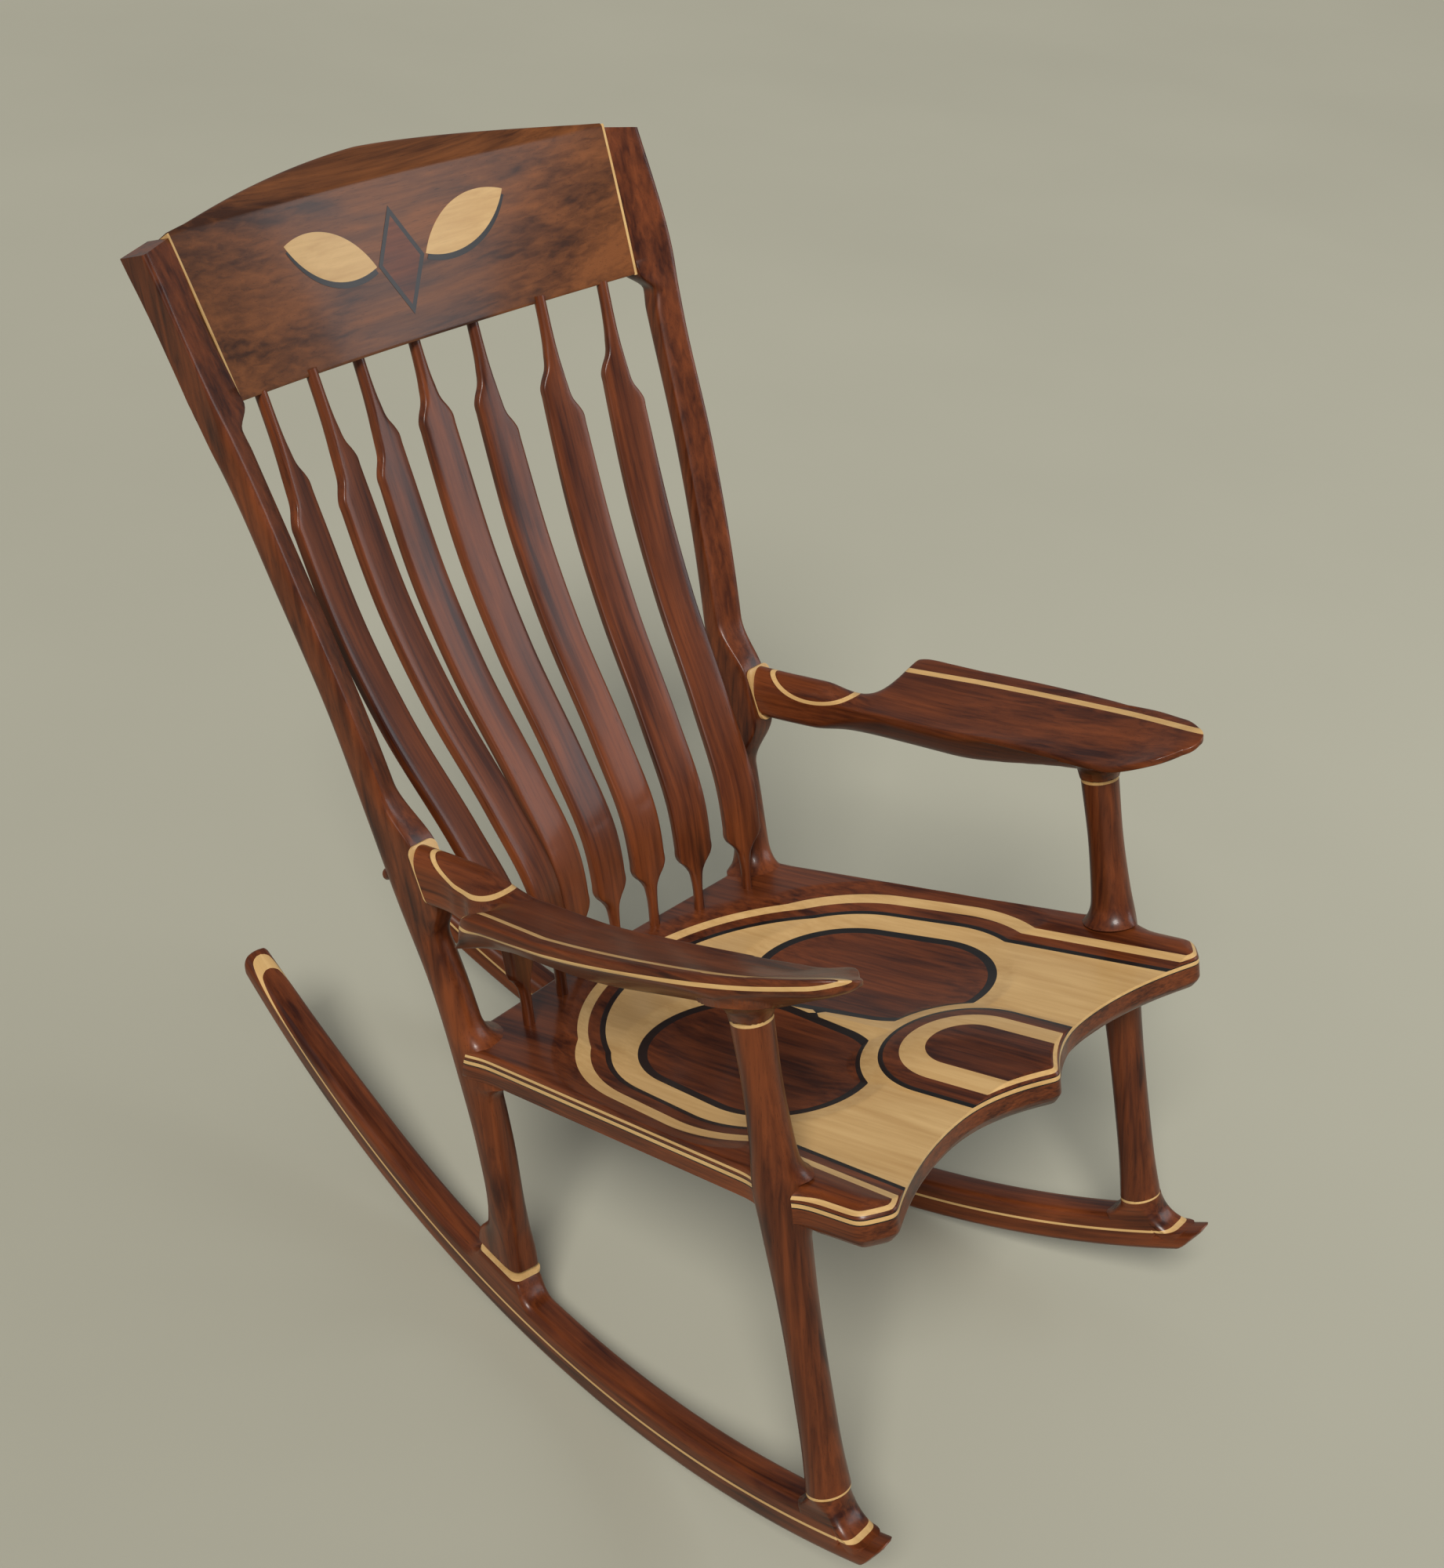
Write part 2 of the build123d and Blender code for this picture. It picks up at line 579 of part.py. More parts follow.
with BuildPart() as seat_stock:
    with BuildSketch(seat_plane(SEAT_BASE)):
        add(seat_outline.sketch)
    extrude(amount=SEAT_RIM - SEAT_BASE)
    upwards = Axis((0, 0, 0), seat_plane(0.0).z_dir)
    underside = seat_stock.faces().sort_by(upwards)[0]
    long_sides = [edge for edge in underside.edges() if edge.length > LONG_EDGE and abs(edge.center().X) > SIDE_REACH]
    chamfer(long_sides, length=SEAT_UNDERCUT[0], length2=SEAT_UNDERCUT[1], reference=underside)
    front_rim = [edge for edge in seat_stock.faces().sort_by(upwards)[-1].edges() if edge.geom_type == GeomType.CIRCLE]
    chamfer(front_rim, length=SEAT_NOSE)
    add(dish.part, mode=Mode.SUBTRACT)

# ---------------------------------------------------------------- pieces
pieces = {}


def keep_pair(name, piece):
    """Keep a left-hand piece and its mirror image."""
    pieces[f"{name}_left"] = piece
    with BuildPart() as twin:
        mirror(piece.part, about=Plane.YZ)
    pieces[f"{name}_right"] = twin


def crest_end_plane(gap):
    """Joint plane between crest and left post, moved outwards by a gap."""
    (low_x, low_z), (high_x, high_z) = CREST_END
    lean = atan2(high_x - low_x, high_z - low_z)
    return Plane(origin=spot(low_x, 400.0, low_z), x_dir=(0, 1, 0), z_dir=(cos(lean), 0, -sin(lean))).offset(gap)


def peg(plane, diameter, start, end):
    """Round peg along a plane's normal, from one distance to another."""
    with BuildPart() as pin:
        with BuildSketch(plane.offset(start)):
            Circle(diameter / 2)
        extrude(amount=end - start)
    return pin


def both_sides(*parts):
    """Left-hand parts and their mirror images in one group."""
    with BuildPart() as group:
        for part in parts:
            add(part.part)
        mirror(about=Plane.YZ)
    return group


def bored(piece, *pins):
    """A piece with the seats of its pegs cut out."""
    with BuildPart() as cut:
        add(piece.part)
        for pin in pins:
            add(pin.part, mode=Mode.SUBTRACT)
    return cut


front_dowel = peg(front_block_plane, DOWEL_DIAMETER, -DOWEL_DEPTH, DOWEL_DEPTH + RING_THICKNESS)
rear_dowel = peg(rear_block_plane, DOWEL_DIAMETER, -DOWEL_DEPTH, DOWEL_DEPTH + RING_THICKNESS)
arm_dowel = peg(leg_top_plane, DOWEL_DIAMETER, -DOWEL_DEPTH, ARM_DOWEL_TOP)
arm_screw = peg(arm_plate_plane, SCREW_DIAMETER, -SCREW_GRIP - RING_THICKNESS, SCREW_HEAD)
arm_plug = peg(arm_plate_plane, PLUG_DIAMETER, SCREW_HEAD, PLUG_END)
crest_dowels = [
    peg(
        Plane(origin=spot(*place), z_dir=crest_end_plane(0.0).z_dir),
        CREST_DOWEL_DIAMETER,
        -CREST_DOWEL_REACH,
        CREST_DOWEL_REACH,
    )
    for place in CREST_DOWELS
]
seat_pegs = [
    peg(Plane(origin=spot(*place), z_dir=(1, 0, 0)), SEAT_PEG_DIAMETER, -SEAT_PEG_REACH, SEAT_PEG_REACH)
    for place in SEAT_PEGS
]

# Rockers and rings
keep_pair("rocker_lower", rocker_lamination(ROCKER_RADIUS + 1.0, LINE_OUTER))
keep_pair("rocker_line", rocker_lamination(LINE_OUTER, LINE_INNER))
keep_pair("rocker_upper", bored(rocker_lamination(LINE_INNER, 0.5 * ROCKER_RADIUS), front_dowel, rear_dowel))
keep_pair("front_foot_ring", bored(front_leg_slice(front_block_plane, front_foot_plane), front_dowel))

with BuildPart() as rear_foot_blank:
    add(post_stock.part)
    split(bisect_by=rear_block_plane, keep=Keep.TOP)
    split(bisect_by=rear_foot_plane, keep=Keep.BOTTOM)
keep_pair("rear_foot_ring", bored(rear_foot_blank, rear_dowel))

# Front legs and their arm rings
front_leg = front_leg_slice(front_foot_plane, leg_top_plane)
keep_pair("front_leg", bored(front_leg, front_dowel, arm_dowel, seat_pegs[0]))
keep_pair("arm_ring", bored(front_leg_slice(leg_top_plane, arm_seat_plane), arm_dowel))

# Back posts, trimmed by the foot ring and by the crest veneer
with BuildPart() as back_post:
    add(post_stock.part)
    split(bisect_by=rear_foot_plane, keep=Keep.TOP)
    split(bisect_by=crest_end_plane(CREST_VENEER), keep=Keep.TOP)
    split(bisect_by=Plane(origin=spot(*POST_TOP[0]), z_dir=POST_TOP[1]), keep=Keep.BOTTOM)
keep_pair("back_post", bored(back_post, rear_dowel, arm_screw, arm_plug, seat_pegs[1], *crest_dowels))

with BuildPart() as arm_plate:
    with BuildSketch(arm_plate_plane):
        RectangleRounded(POST_NOSE[0][1], POST_NOSE[0][2], POST_ROUNDING)
    extrude(amount=-RING_THICKNESS)
keep_pair("arm_plate", bored(arm_plate, arm_screw))

# Arms: edge strip above a tilted glue face, cap in a shallow hollow at the rear
strip_plane = Plane(origin=spot(*ARM_STRIP_PLANE[0]), z_dir=ARM_STRIP_PLANE[1])


def cap_bore(radius):
    """Cylinder across the arm that bounds the rear cap."""
    with BuildPart() as bore:
        with BuildSketch(Plane(origin=spot(0, ARM_CAP_AXIS[0], ARM_CAP_AXIS[1]), x_dir=(0, 1, 0), z_dir=(1, 0, 0))):
            Circle(radius)
        extrude(amount=2 * ARM_OUTER_EDGE[4][0])
    return bore


with BuildPart() as arm_edge_strip:
    add(arm_stock.part)
    split(bisect_by=strip_plane.offset(ARM_LINE), keep=Keep.TOP)
    add(cap_bore(ARM_CAP_RADIUS + ARM_LINE).part, mode=Mode.SUBTRACT)

with BuildPart() as arm_edge_line:
    add(arm_stock.part)
    split(bisect_by=strip_plane, keep=Keep.TOP)
    split(bisect_by=strip_plane.offset(ARM_LINE), keep=Keep.BOTTOM)
    add(cap_bore(ARM_CAP_RADIUS + ARM_LINE).part, mode=Mode.SUBTRACT)

with BuildPart() as arm_cap:
    add(arm_stock.part)
    add(cap_bore(ARM_CAP_RADIUS).part, mode=Mode.INTERSECT)

with BuildPart() as arm_cap_line:
    add(arm_stock.part)
    add(cap_bore(ARM_CAP_RADIUS + ARM_LINE).part, mode=Mode.INTERSECT)
    add(cap_bore(ARM_CAP_RADIUS).part, mode=Mode.SUBTRACT)

with BuildPart() as arm_body:
    add(arm_stock.part)
    split(bisect_by=strip_plane, keep=Keep.BOTTOM)
    add(cap_bore(ARM_CAP_RADIUS + ARM_LINE).part, mode=Mode.SUBTRACT)

keep_pair("arm_body", bored(arm_body, arm_dowel, arm_screw))
keep_pair("arm_edge_line", arm_edge_line)
keep_pair("arm_edge_strip", arm_edge_strip)
keep_pair("arm_cap_line", bored(arm_cap_line, arm_screw))
keep_pair("arm_cap", arm_cap)

# Slats
slats = [placed_slat(*ends) for ends in SLATS]
for number, slat in enumerate(slats, start=1):
    if number == 1:
        pieces["slat_middle"] = slat
    else:
        keep_pair(f"slat_{number - 1}", slat)

# Crest, its end veneers and its inlay
with BuildPart() as crest_veneer:
    add(crest_stock.part)
    split(bisect_by=crest_end_plane(0.0), keep=Keep.TOP)
    split(bisect_by=crest_end_plane(CREST_VENEER), keep=Keep.BOTTOM)
keep_pair("crest_veneer", bored(crest_veneer, *crest_dowels))

with BuildPart() as crest_half:
    add(crest_stock.part)
    split(bisect_by=Plane.YZ, keep=Keep.TOP)
    split(bisect_by=crest_end_plane(0.0), keep=Keep.BOTTOM)
    for slat in slats:
        add(slat.part, mode=Mode.SUBTRACT)
    for dowel in crest_dowels:
        add(dowel.part, mode=Mode.SUBTRACT)

with BuildPart() as crest_whole:
    add(crest_half.part)
    mirror(about=Plane.YZ)

with BuildPart() as inlay_skin:
    add(crest_whole.part)
    add(crest_whole.part.moved(Location((0, INLAY_DEPTH, 0))), mode=Mode.SUBTRACT)


def leaf_points(lift):
    """Root, belly, tip and back of one leaf of the inlay, moved up by a lift."""
    middle = (LEAF_ROOT + LEAF_TIP) / 2
    return (
        (LEAF_ROOT, lift),
        (middle, LEAF_RISE / 2 - LEAF_SWELL + lift),
        (LEAF_TIP, LEAF_RISE + lift),
        (middle, LEAF_RISE / 2 + LEAF_SWELL + lift),
    )


def inlay(sketch):
    """One inlay piece: its outline cut out of the crest's front skin."""
    with BuildPart() as piece:
        with BuildSketch(Plane(origin=(0, 0, INLAY_HEIGHT), x_dir=(1, 0, 0), z_dir=(0, -1, 0))):
            add(sketch.sketch)
        extrude(amount=REACH, both=True)
        add(inlay_skin.part, mode=Mode.INTERSECT)
    return piece


with BuildSketch() as leaves:
    with BuildLine():
        root, belly, tip, back = leaf_points(0.0)
        ThreePointArc(root, belly, tip)
        ThreePointArc(tip, back, root)
    make_face()
    mirror(about=Plane.YZ)

with BuildSketch() as leaf_shadows:
    with BuildLine():
        root, belly, tip, back = leaf_points(-LEAF_SHADOW)
        ThreePointArc(root, belly, tip)
        ThreePointArc(tip, back, root)
    make_face()
    mirror(about=Plane.YZ)
    add(leaves.sketch, mode=Mode.SUBTRACT)

with BuildSketch() as lozenge:
    Polygon((LOZENGE[0], 0), (0, LOZENGE[1]), (-LOZENGE[0], 0), (0, -LOZENGE[1]), align=None)

with BuildSketch() as lozenge_border:
    add(lozenge.sketch)
    offset(amount=LOZENGE_BORDER, kind=Kind.INTERSECTION)
    add(lozenge.sketch, mode=Mode.SUBTRACT)

crest_inlays = {
    "inlay_leaves": inlay(leaves),
    "inlay_leaf_shadows": inlay(leaf_shadows),
    "inlay_lozenge": inlay(lozenge),
    "inlay_lozenge_border": inlay(lozenge_border),
}
pieces["crest"] = bored(crest_whole, *crest_inlays.values())
pieces.update(crest_inlays)

# Seat layers, notched for the posts and the legs and bored for the slats and the pegs
with BuildPart() as seat_cutters:
    add(back_post.part)
    add(front_leg.part)
    for slat in slats:
        add(slat.part)
    for seat_peg in seat_pegs:
        add(seat_peg.part)
    mirror(about=Plane.YZ)

with BuildPart() as seat_rest:
    add(seat_stock.part)
    add(seat_cutters.part, mode=Mode.SUBTRACT)

for name, level in zip(SEAT_LAYERS, SEAT_LEVELS):
    with BuildPart() as layer:
        add(seat_rest.part)
        split(bisect_by=seat_plane(level), keep=Keep.TOP)
    with BuildPart() as seat_below:
        add(seat_rest.part)
        split(bisect_by=seat_plane(level), keep=Keep.BOTTOM)
    pieces[name] = layer
    seat_rest = seat_below
pieces[SEAT_LAYERS[-1]] = seat_rest

# Hidden pegs and screws, and the plugs behind the arms
pieces["leg_dowels"] = both_sides(front_dowel, rear_dowel)
pieces["arm_dowels"] = both_sides(arm_dowel)
pieces["arm_screws"] = both_sides(arm_screw)
pieces["arm_plugs"] = both_sides(arm_plug)
pieces["crest_dowels"] = both_sides(*crest_dowels)
pieces["seat_pegs"] = both_sides(*seat_pegs)

rocking_centre = spot(0, 0, ROCKER_RADIUS)
at_rest = Pos(rocking_centre) * Rot(-REST_TILT, 0, 0) * Pos(-rocking_centre)
for name, piece in pieces.items():
    with BuildPart() as rested:
        with Locations(at_rest):
            add(piece.part)
    rested.part.label = name
    export_step(rested.part, f"parts/{name}.step")
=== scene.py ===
"""Looks of a sculpted walnut rocking chair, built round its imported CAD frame."""

import json
import logging
from dataclasses import dataclass
from enum import Enum

import bmesh
import bpy
import numpy as np
from mathutils import Matrix, Vector

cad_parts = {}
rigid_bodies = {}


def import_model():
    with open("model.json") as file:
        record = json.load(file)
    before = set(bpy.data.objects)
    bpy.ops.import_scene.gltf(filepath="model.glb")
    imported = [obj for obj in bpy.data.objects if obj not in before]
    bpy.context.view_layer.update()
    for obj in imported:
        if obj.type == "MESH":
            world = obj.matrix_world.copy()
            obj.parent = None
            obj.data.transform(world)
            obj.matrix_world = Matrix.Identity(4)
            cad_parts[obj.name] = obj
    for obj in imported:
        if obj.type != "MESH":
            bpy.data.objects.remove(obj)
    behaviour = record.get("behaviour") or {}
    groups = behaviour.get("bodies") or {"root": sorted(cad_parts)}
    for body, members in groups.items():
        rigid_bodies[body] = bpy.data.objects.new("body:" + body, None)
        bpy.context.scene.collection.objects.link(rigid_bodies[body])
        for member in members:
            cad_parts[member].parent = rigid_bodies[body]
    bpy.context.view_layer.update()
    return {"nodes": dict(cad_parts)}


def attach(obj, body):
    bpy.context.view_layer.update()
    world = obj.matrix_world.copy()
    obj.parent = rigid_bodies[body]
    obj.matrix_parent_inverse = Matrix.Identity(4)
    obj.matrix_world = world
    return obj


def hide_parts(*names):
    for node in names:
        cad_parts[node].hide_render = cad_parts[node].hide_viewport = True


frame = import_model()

log = logging.getLogger("rocking_chair")
Array = np.ndarray
Ball = tuple[tuple[float, float], tuple[float, float], float, float]

# Millimetres and degrees of the upright layout, in which every piece is drawn before it is turned to rest.
ROCKING_RADIUS = 1085.0
CONTACT_Y = -29.4
REST_TILT = 10.5
# Back, height and lean of the post's face that carries the arm.
ARM_PLATE = (232.5, 594.0, 0.3249)


# ---------------------------------------------------------------- shared geometry
def ease(value: Array, low: float, high: float) -> Array:
    """Smooth step from 0 at low to 1 at high."""
    share = np.clip((value - low) / (high - low), 0.0, 1.0)
    return share * share * (3.0 - 2.0 * share)


def smooth_track(at: Array, stations: Array, values: Array) -> Array:
    """Cubic curve through values at uneven stations, with slopes taken from the neighbours.

    Args:
        at: places to evaluate, any shape.
        stations: increasing places of the known values.
        values: known values, one row a station.

    Returns:
        Interpolated values, shaped as at with the columns of values behind.
    """
    stations = np.asarray(stations, float)
    values = np.asarray(values, float)
    slopes = np.gradient(values, stations, axis=0)
    at = np.clip(at, stations[0], stations[-1])
    index = np.clip(np.searchsorted(stations, at, side="right") - 1, 0, len(stations) - 2)
    width = stations[index + 1] - stations[index]
    t = (at - stations[index]) / width
    if values.ndim > 1:
        t, width = t[..., None], width[..., None]
    first = (1 + 2 * t) * (1 - t) ** 2 * values[index] + t * (1 - t) ** 2 * width * slopes[index]
    second = t * t * (3 - 2 * t) * values[index + 1] - t * t * (1 - t) * width * slopes[index + 1]
    return first + second


def rounded_square(angle: Array, power: Array) -> tuple[Array, Array]:
    """Unit outline between a circle (power 2) and a square (large power), as two coordinates."""
    share = 2.0 / np.asarray(power, float)
    cosine, sine = np.cos(angle), np.sin(angle)
    return np.sign(cosine) * np.abs(cosine) ** share, np.sign(sine) * np.abs(sine) ** share


def fillet_rise(distance: Array, radius: float) -> Array:
    """Extra reach of a hollow quarter-round fillet at a distance from the face it leaves."""
    inside = np.clip(radius - np.maximum(distance, 0.0), 0.0, radius)
    return radius - np.sqrt(radius**2 - inside**2)


def place(across: Array, back: Array, height: Array) -> Array:
    """Points of the upright layout in millimetres, turned to the rest pose and given in metres.

    Every point turns about the rocking axis, which runs across the chair at the rockers' radius above the
    line of contact. The line of contact itself lies at CONTACT_Y.
    """
    turn = np.radians(REST_TILT)
    drop = height - ROCKING_RADIUS
    y = back * np.cos(turn) + drop * np.sin(turn) + CONTACT_Y
    z = ROCKING_RADIUS + drop * np.cos(turn) - back * np.sin(turn)
    return np.stack(np.broadcast_arrays(across, y, z), -1) * 0.001


@dataclass
class Skin:
    """A closed surface from a grid of points.

    Attributes:
        points: rows by columns by 3, in millimetres of the upright layout (across, back, height).
        grain: same shape, the wood's own coordinates in millimetres (along, across and through the board).
    """

    points: Array
    grain: Array

    def faces(self) -> list[list[int]]:
        """Quads between rows that close round each row, and a fan of triangles over either end."""
        rows, columns = self.points.shape[:2]
        index = np.arange(rows * columns).reshape(rows, columns)
        nxt = np.roll(index, -1, axis=1)
        quads = np.stack([index[:-1], nxt[:-1], nxt[1:], index[1:]], -1).reshape(-1, 4)
        low, high = rows * columns, rows * columns + 1
        start = np.stack([nxt[0], index[0], np.full(columns, low)], -1)
        end = np.stack([index[-1], nxt[-1], np.full(columns, high)], -1)
        return quads.tolist() + start.tolist() + end.tolist()

    @staticmethod
    def flat(grid: Array) -> Array:
        """A grid as one list of rows, with the middles of its first and last rows added."""
        return np.concatenate([grid.reshape(-1, 3), [grid[0].mean(0)], [grid[-1].mean(0)]])


def mesh_from(name: str, skin: Skin) -> bpy.types.Mesh:
    """Mesh of a skin in the upright layout, faces outwards, with its wood coordinates as an attribute."""
    mesh = bpy.data.meshes.new(name)
    mesh.from_pydata(skin.flat(skin.points).tolist(), [], skin.faces())
    layer = mesh.attributes.new("grain", "FLOAT_VECTOR", "POINT")
    layer.data.foreach_set("vector", skin.flat(skin.grain).astype(np.float32).ravel())
    work = bmesh.new()
    work.from_mesh(mesh)
    bmesh.ops.remove_doubles(work, verts=work.verts, dist=1e-4)
    if work.calc_volume(signed=True) < 0:
        bmesh.ops.reverse_faces(work, faces=work.faces)
    work.to_mesh(mesh)
    work.free()
    return mesh


def joined(*meshes: bpy.types.Mesh) -> bpy.types.Mesh:
    """One mesh that holds copies of several."""
    work = bmesh.new()
    for mesh in meshes:
        work.from_mesh(mesh)
    whole = bpy.data.meshes.new(meshes[0].name)
    work.to_mesh(whole)
    work.free()
    return whole


def slab_of(
    mesh: bpy.types.Mesh, point: tuple, normal: tuple, low: float | None, high: float | None
) -> bpy.types.Mesh:
    """Part of a closed mesh between two parallel planes, closed again.

    Args:
        mesh: closed mesh, left as it is.
        point: a point of the plane of distance 0.
        normal: direction in which the distances grow.
        low: distance of the lower plane, or None for no cut.
        high: distance of the upper plane, or None for no cut.

    Returns:
        A new mesh.
    """
    part = mesh.copy()
    work = bmesh.new()
    work.from_mesh(part)
    direction = Vector(normal).normalized()
    for distance, side in ((low, -1.0), (high, 1.0)):
        if distance is None:
            continue
        cut = bmesh.ops.bisect_plane(
            work,
            geom=work.verts[:] + work.edges[:] + work.faces[:],
            plane_co=Vector(point) + direction * distance,
            plane_no=direction * side,
            clear_outer=True,
        )
        edges = [item for item in cut["geom_cut"] if isinstance(item, bmesh.types.BMEdge)]
        bmesh.ops.triangle_fill(work, edges=edges, use_beauty=True, normal=direction * side)
    work.to_mesh(part)
    work.free()
    return part


# ---------------------------------------------------------------- finishes
class Source(Enum):
    """Where a wood pattern takes its coordinates."""

    PIECE = "grain attribute, millimetres, along the board first"
    UPRIGHT = "object coordinates, grain along Z"
    CROSSWISE = "object coordinates, grain along X"


@dataclass(frozen=True)
class Wood:
    """A varnished wood.

    Attributes:
        name: name of the material.
        dark: colour of the late-wood lines.
        light: colour of the open wood between them.
        figure: strength of the broad tone changes, 0 to 1.
        streak: strength of the narrow lines, 0 to 1.
        pore: strength of the dark pores, 0 to 1.
        gloss: roughness of the varnish.
        slot: material slot of the record; not used.
    """

    name: str
    dark: tuple[float, float, float]
    light: tuple[float, float, float]
    figure: float
    streak: float
    pore: float
    gloss: float
    slot: str

    def material(self, source: Source) -> bpy.types.Material:
        """The finish as a material, made once for each source of coordinates."""
        name = f"{self.name}_{source.name.lower()}"
        if name in bpy.data.materials:
            return bpy.data.materials[name]
        material = bpy.data.materials.new(name)
        material.use_nodes = True
        nodes, links = material.node_tree.nodes, material.node_tree.links
        shader = nodes["Principled BSDF"]
        wood = self._coordinates(nodes, links, source)
        broad = self._noise(nodes, links, wood, (0.004, 0.022, 0.022), 3.0, 0.9)
        lines = self._noise(nodes, links, wood, (0.007, 0.16, 0.16), 5.0, 0.6)
        pores = self._noise(nodes, links, wood, (0.05, 1.1, 1.1), 2.0, 0.0)
        tone = self._math(nodes, links, "MULTIPLY_ADD", broad, self.figure, 0.5 - 0.5 * self.figure)
        fine = self._math(nodes, links, "MULTIPLY_ADD", lines, self.streak, -0.5 * self.streak)
        tone = self._math(nodes, links, "ADD", tone, fine)
        ramp = nodes.new("ShaderNodeValToRGB")
        ramp.color_ramp.elements[0].position = 0.30
        ramp.color_ramp.elements[1].position = 0.70
        ramp.color_ramp.elements[0].color = (*self.dark, 1.0)
        ramp.color_ramp.elements[1].color = (*self.light, 1.0)
        links.new(tone, ramp.inputs["Fac"])
        flecks = nodes.new("ShaderNodeMapRange")
        flecks.inputs["From Min"].default_value = 0.60
        flecks.inputs["From Max"].default_value = 0.72
        flecks.inputs["To Min"].default_value = 1.0
        flecks.inputs["To Max"].default_value = 1.0 - self.pore
        links.new(pores, flecks.inputs["Value"])
        shade = nodes.new("ShaderNodeVectorMath")
        shade.operation = "SCALE"
        links.new(ramp.outputs["Color"], shade.inputs[0])
        links.new(flecks.outputs["Result"], shade.inputs["Scale"])
        links.new(shade.outputs["Vector"], shader.inputs["Base Color"])
        rough = self._math(nodes, links, "MULTIPLY_ADD", broad, 0.16, self.gloss - 0.08)
        links.new(rough, shader.inputs["Roughness"])
        shader.inputs["IOR"].default_value = 1.5
        shader.inputs["Specular IOR Level"].default_value = 0.26
        shader.inputs["Coat Weight"].default_value = 0.15
        shader.inputs["Coat Roughness"].default_value = 0.14
        relief = self._math(nodes, links, "MULTIPLY_ADD", lines, 0.5, flecks.outputs["Result"])
        bump = nodes.new("ShaderNodeBump")
        bump.inputs["Strength"].default_value = 0.10
        bump.inputs["Distance"].default_value = 0.0004
        links.new(relief, bump.inputs["Height"])
        links.new(bump.outputs["Normal"], shader.inputs["Normal"])
        return material

    @staticmethod
    def _coordinates(
        nodes: bpy.types.Nodes, links: bpy.types.NodeLinks, source: Source
    ) -> bpy.types.NodeSocket:
        """Wood coordinates in millimetres with the grain along the first axis."""
        if source is Source.PIECE:
            attribute = nodes.new("ShaderNodeAttribute")
            attribute.attribute_name = "grain"
            return attribute.outputs["Vector"]
        order = {Source.UPRIGHT: "ZXY", Source.CROSSWISE: "XYZ"}[source]
        texture = nodes.new("ShaderNodeTexCoord")
        parts = nodes.new("ShaderNodeSeparateXYZ")
        ordered = nodes.new("ShaderNodeCombineXYZ")
        scaled = nodes.new("ShaderNodeVectorMath")
        scaled.operation = "SCALE"
        scaled.inputs["Scale"].default_value = 1000.0
        links.new(texture.outputs["Object"], parts.inputs[0])
        for slot, letter in enumerate(order):
            links.new(parts.outputs[letter], ordered.inputs[slot])
        links.new(ordered.outputs[0], scaled.inputs[0])
        return scaled.outputs["Vector"]

    @staticmethod
    def _noise(
        nodes: bpy.types.Nodes,
        links: bpy.types.NodeLinks,
        wood: bpy.types.NodeSocket,
        scale: tuple[float, float, float],
        detail: float,
        distortion: float,
    ) -> bpy.types.NodeSocket:
        """Noise stretched along the grain, with a scale a millimetre for each axis."""
        mapping = nodes.new("ShaderNodeMapping")
        mapping.inputs["Scale"].default_value = scale
        noise = nodes.new("ShaderNodeTexNoise")
        noise.inputs["Scale"].default_value = 1.0
        noise.inputs["Detail"].default_value = detail
        noise.inputs["Distortion"].default_value = distortion
        links.new(wood, mapping.inputs["Vector"])
        links.new(mapping.outputs["Vector"], noise.inputs["Vector"])
        return noise.outputs["Fac"]

    @staticmethod
    def _math(
        nodes: bpy.types.Nodes,
        links: bpy.types.NodeLinks,
        operation: str,
        *values: bpy.types.NodeSocket | float,
    ) -> bpy.types.NodeSocket:
        """One arithmetic node; plain numbers are set on its sockets."""
        node = nodes.new("ShaderNodeMath")
        node.operation = operation
        for slot, value in enumerate(values):
            if isinstance(value, (int, float)):
                node.inputs[slot].default_value = value
            else:
                links.new(value, node.inputs[slot])
        return node.outputs[0]


WALNUT = Wood(
    name="walnut",
    dark=(0.032, 0.0060, 0.0020),
    light=(0.180, 0.043, 0.0105),
    figure=0.8,
    streak=0.60,
    pore=0.40,
    gloss=0.36,
    slot="walnut",
)
GOLDEN = Wood(
    name="golden_walnut",
    dark=(0.042, 0.012, 0.0035),
    light=(0.205, 0.066, 0.017),
    figure=0.9,
    streak=0.55,
    pore=0.40,
    gloss=0.36,
    slot="walnut",
)
MAPLE = Wood(
    name="maple",
    dark=(0.50, 0.29, 0.105),
    light=(0.70, 0.46, 0.20),
    figure=0.6,
    streak=0.45,
    pore=0.08,
    gloss=0.34,
    slot="maple",
)
EBONY = Wood(
    name="ebony",
    dark=(0.006, 0.005, 0.005),
    light=(0.014, 0.011, 0.010),
    figure=0.6,
    streak=0.5,
    pore=0.2,
    gloss=0.30,
    slot="ebony",
)


class Side(Enum):
    """Which half of the chair a piece stands in."""

    LEFT = 1.0
    RIGHT = -1.0


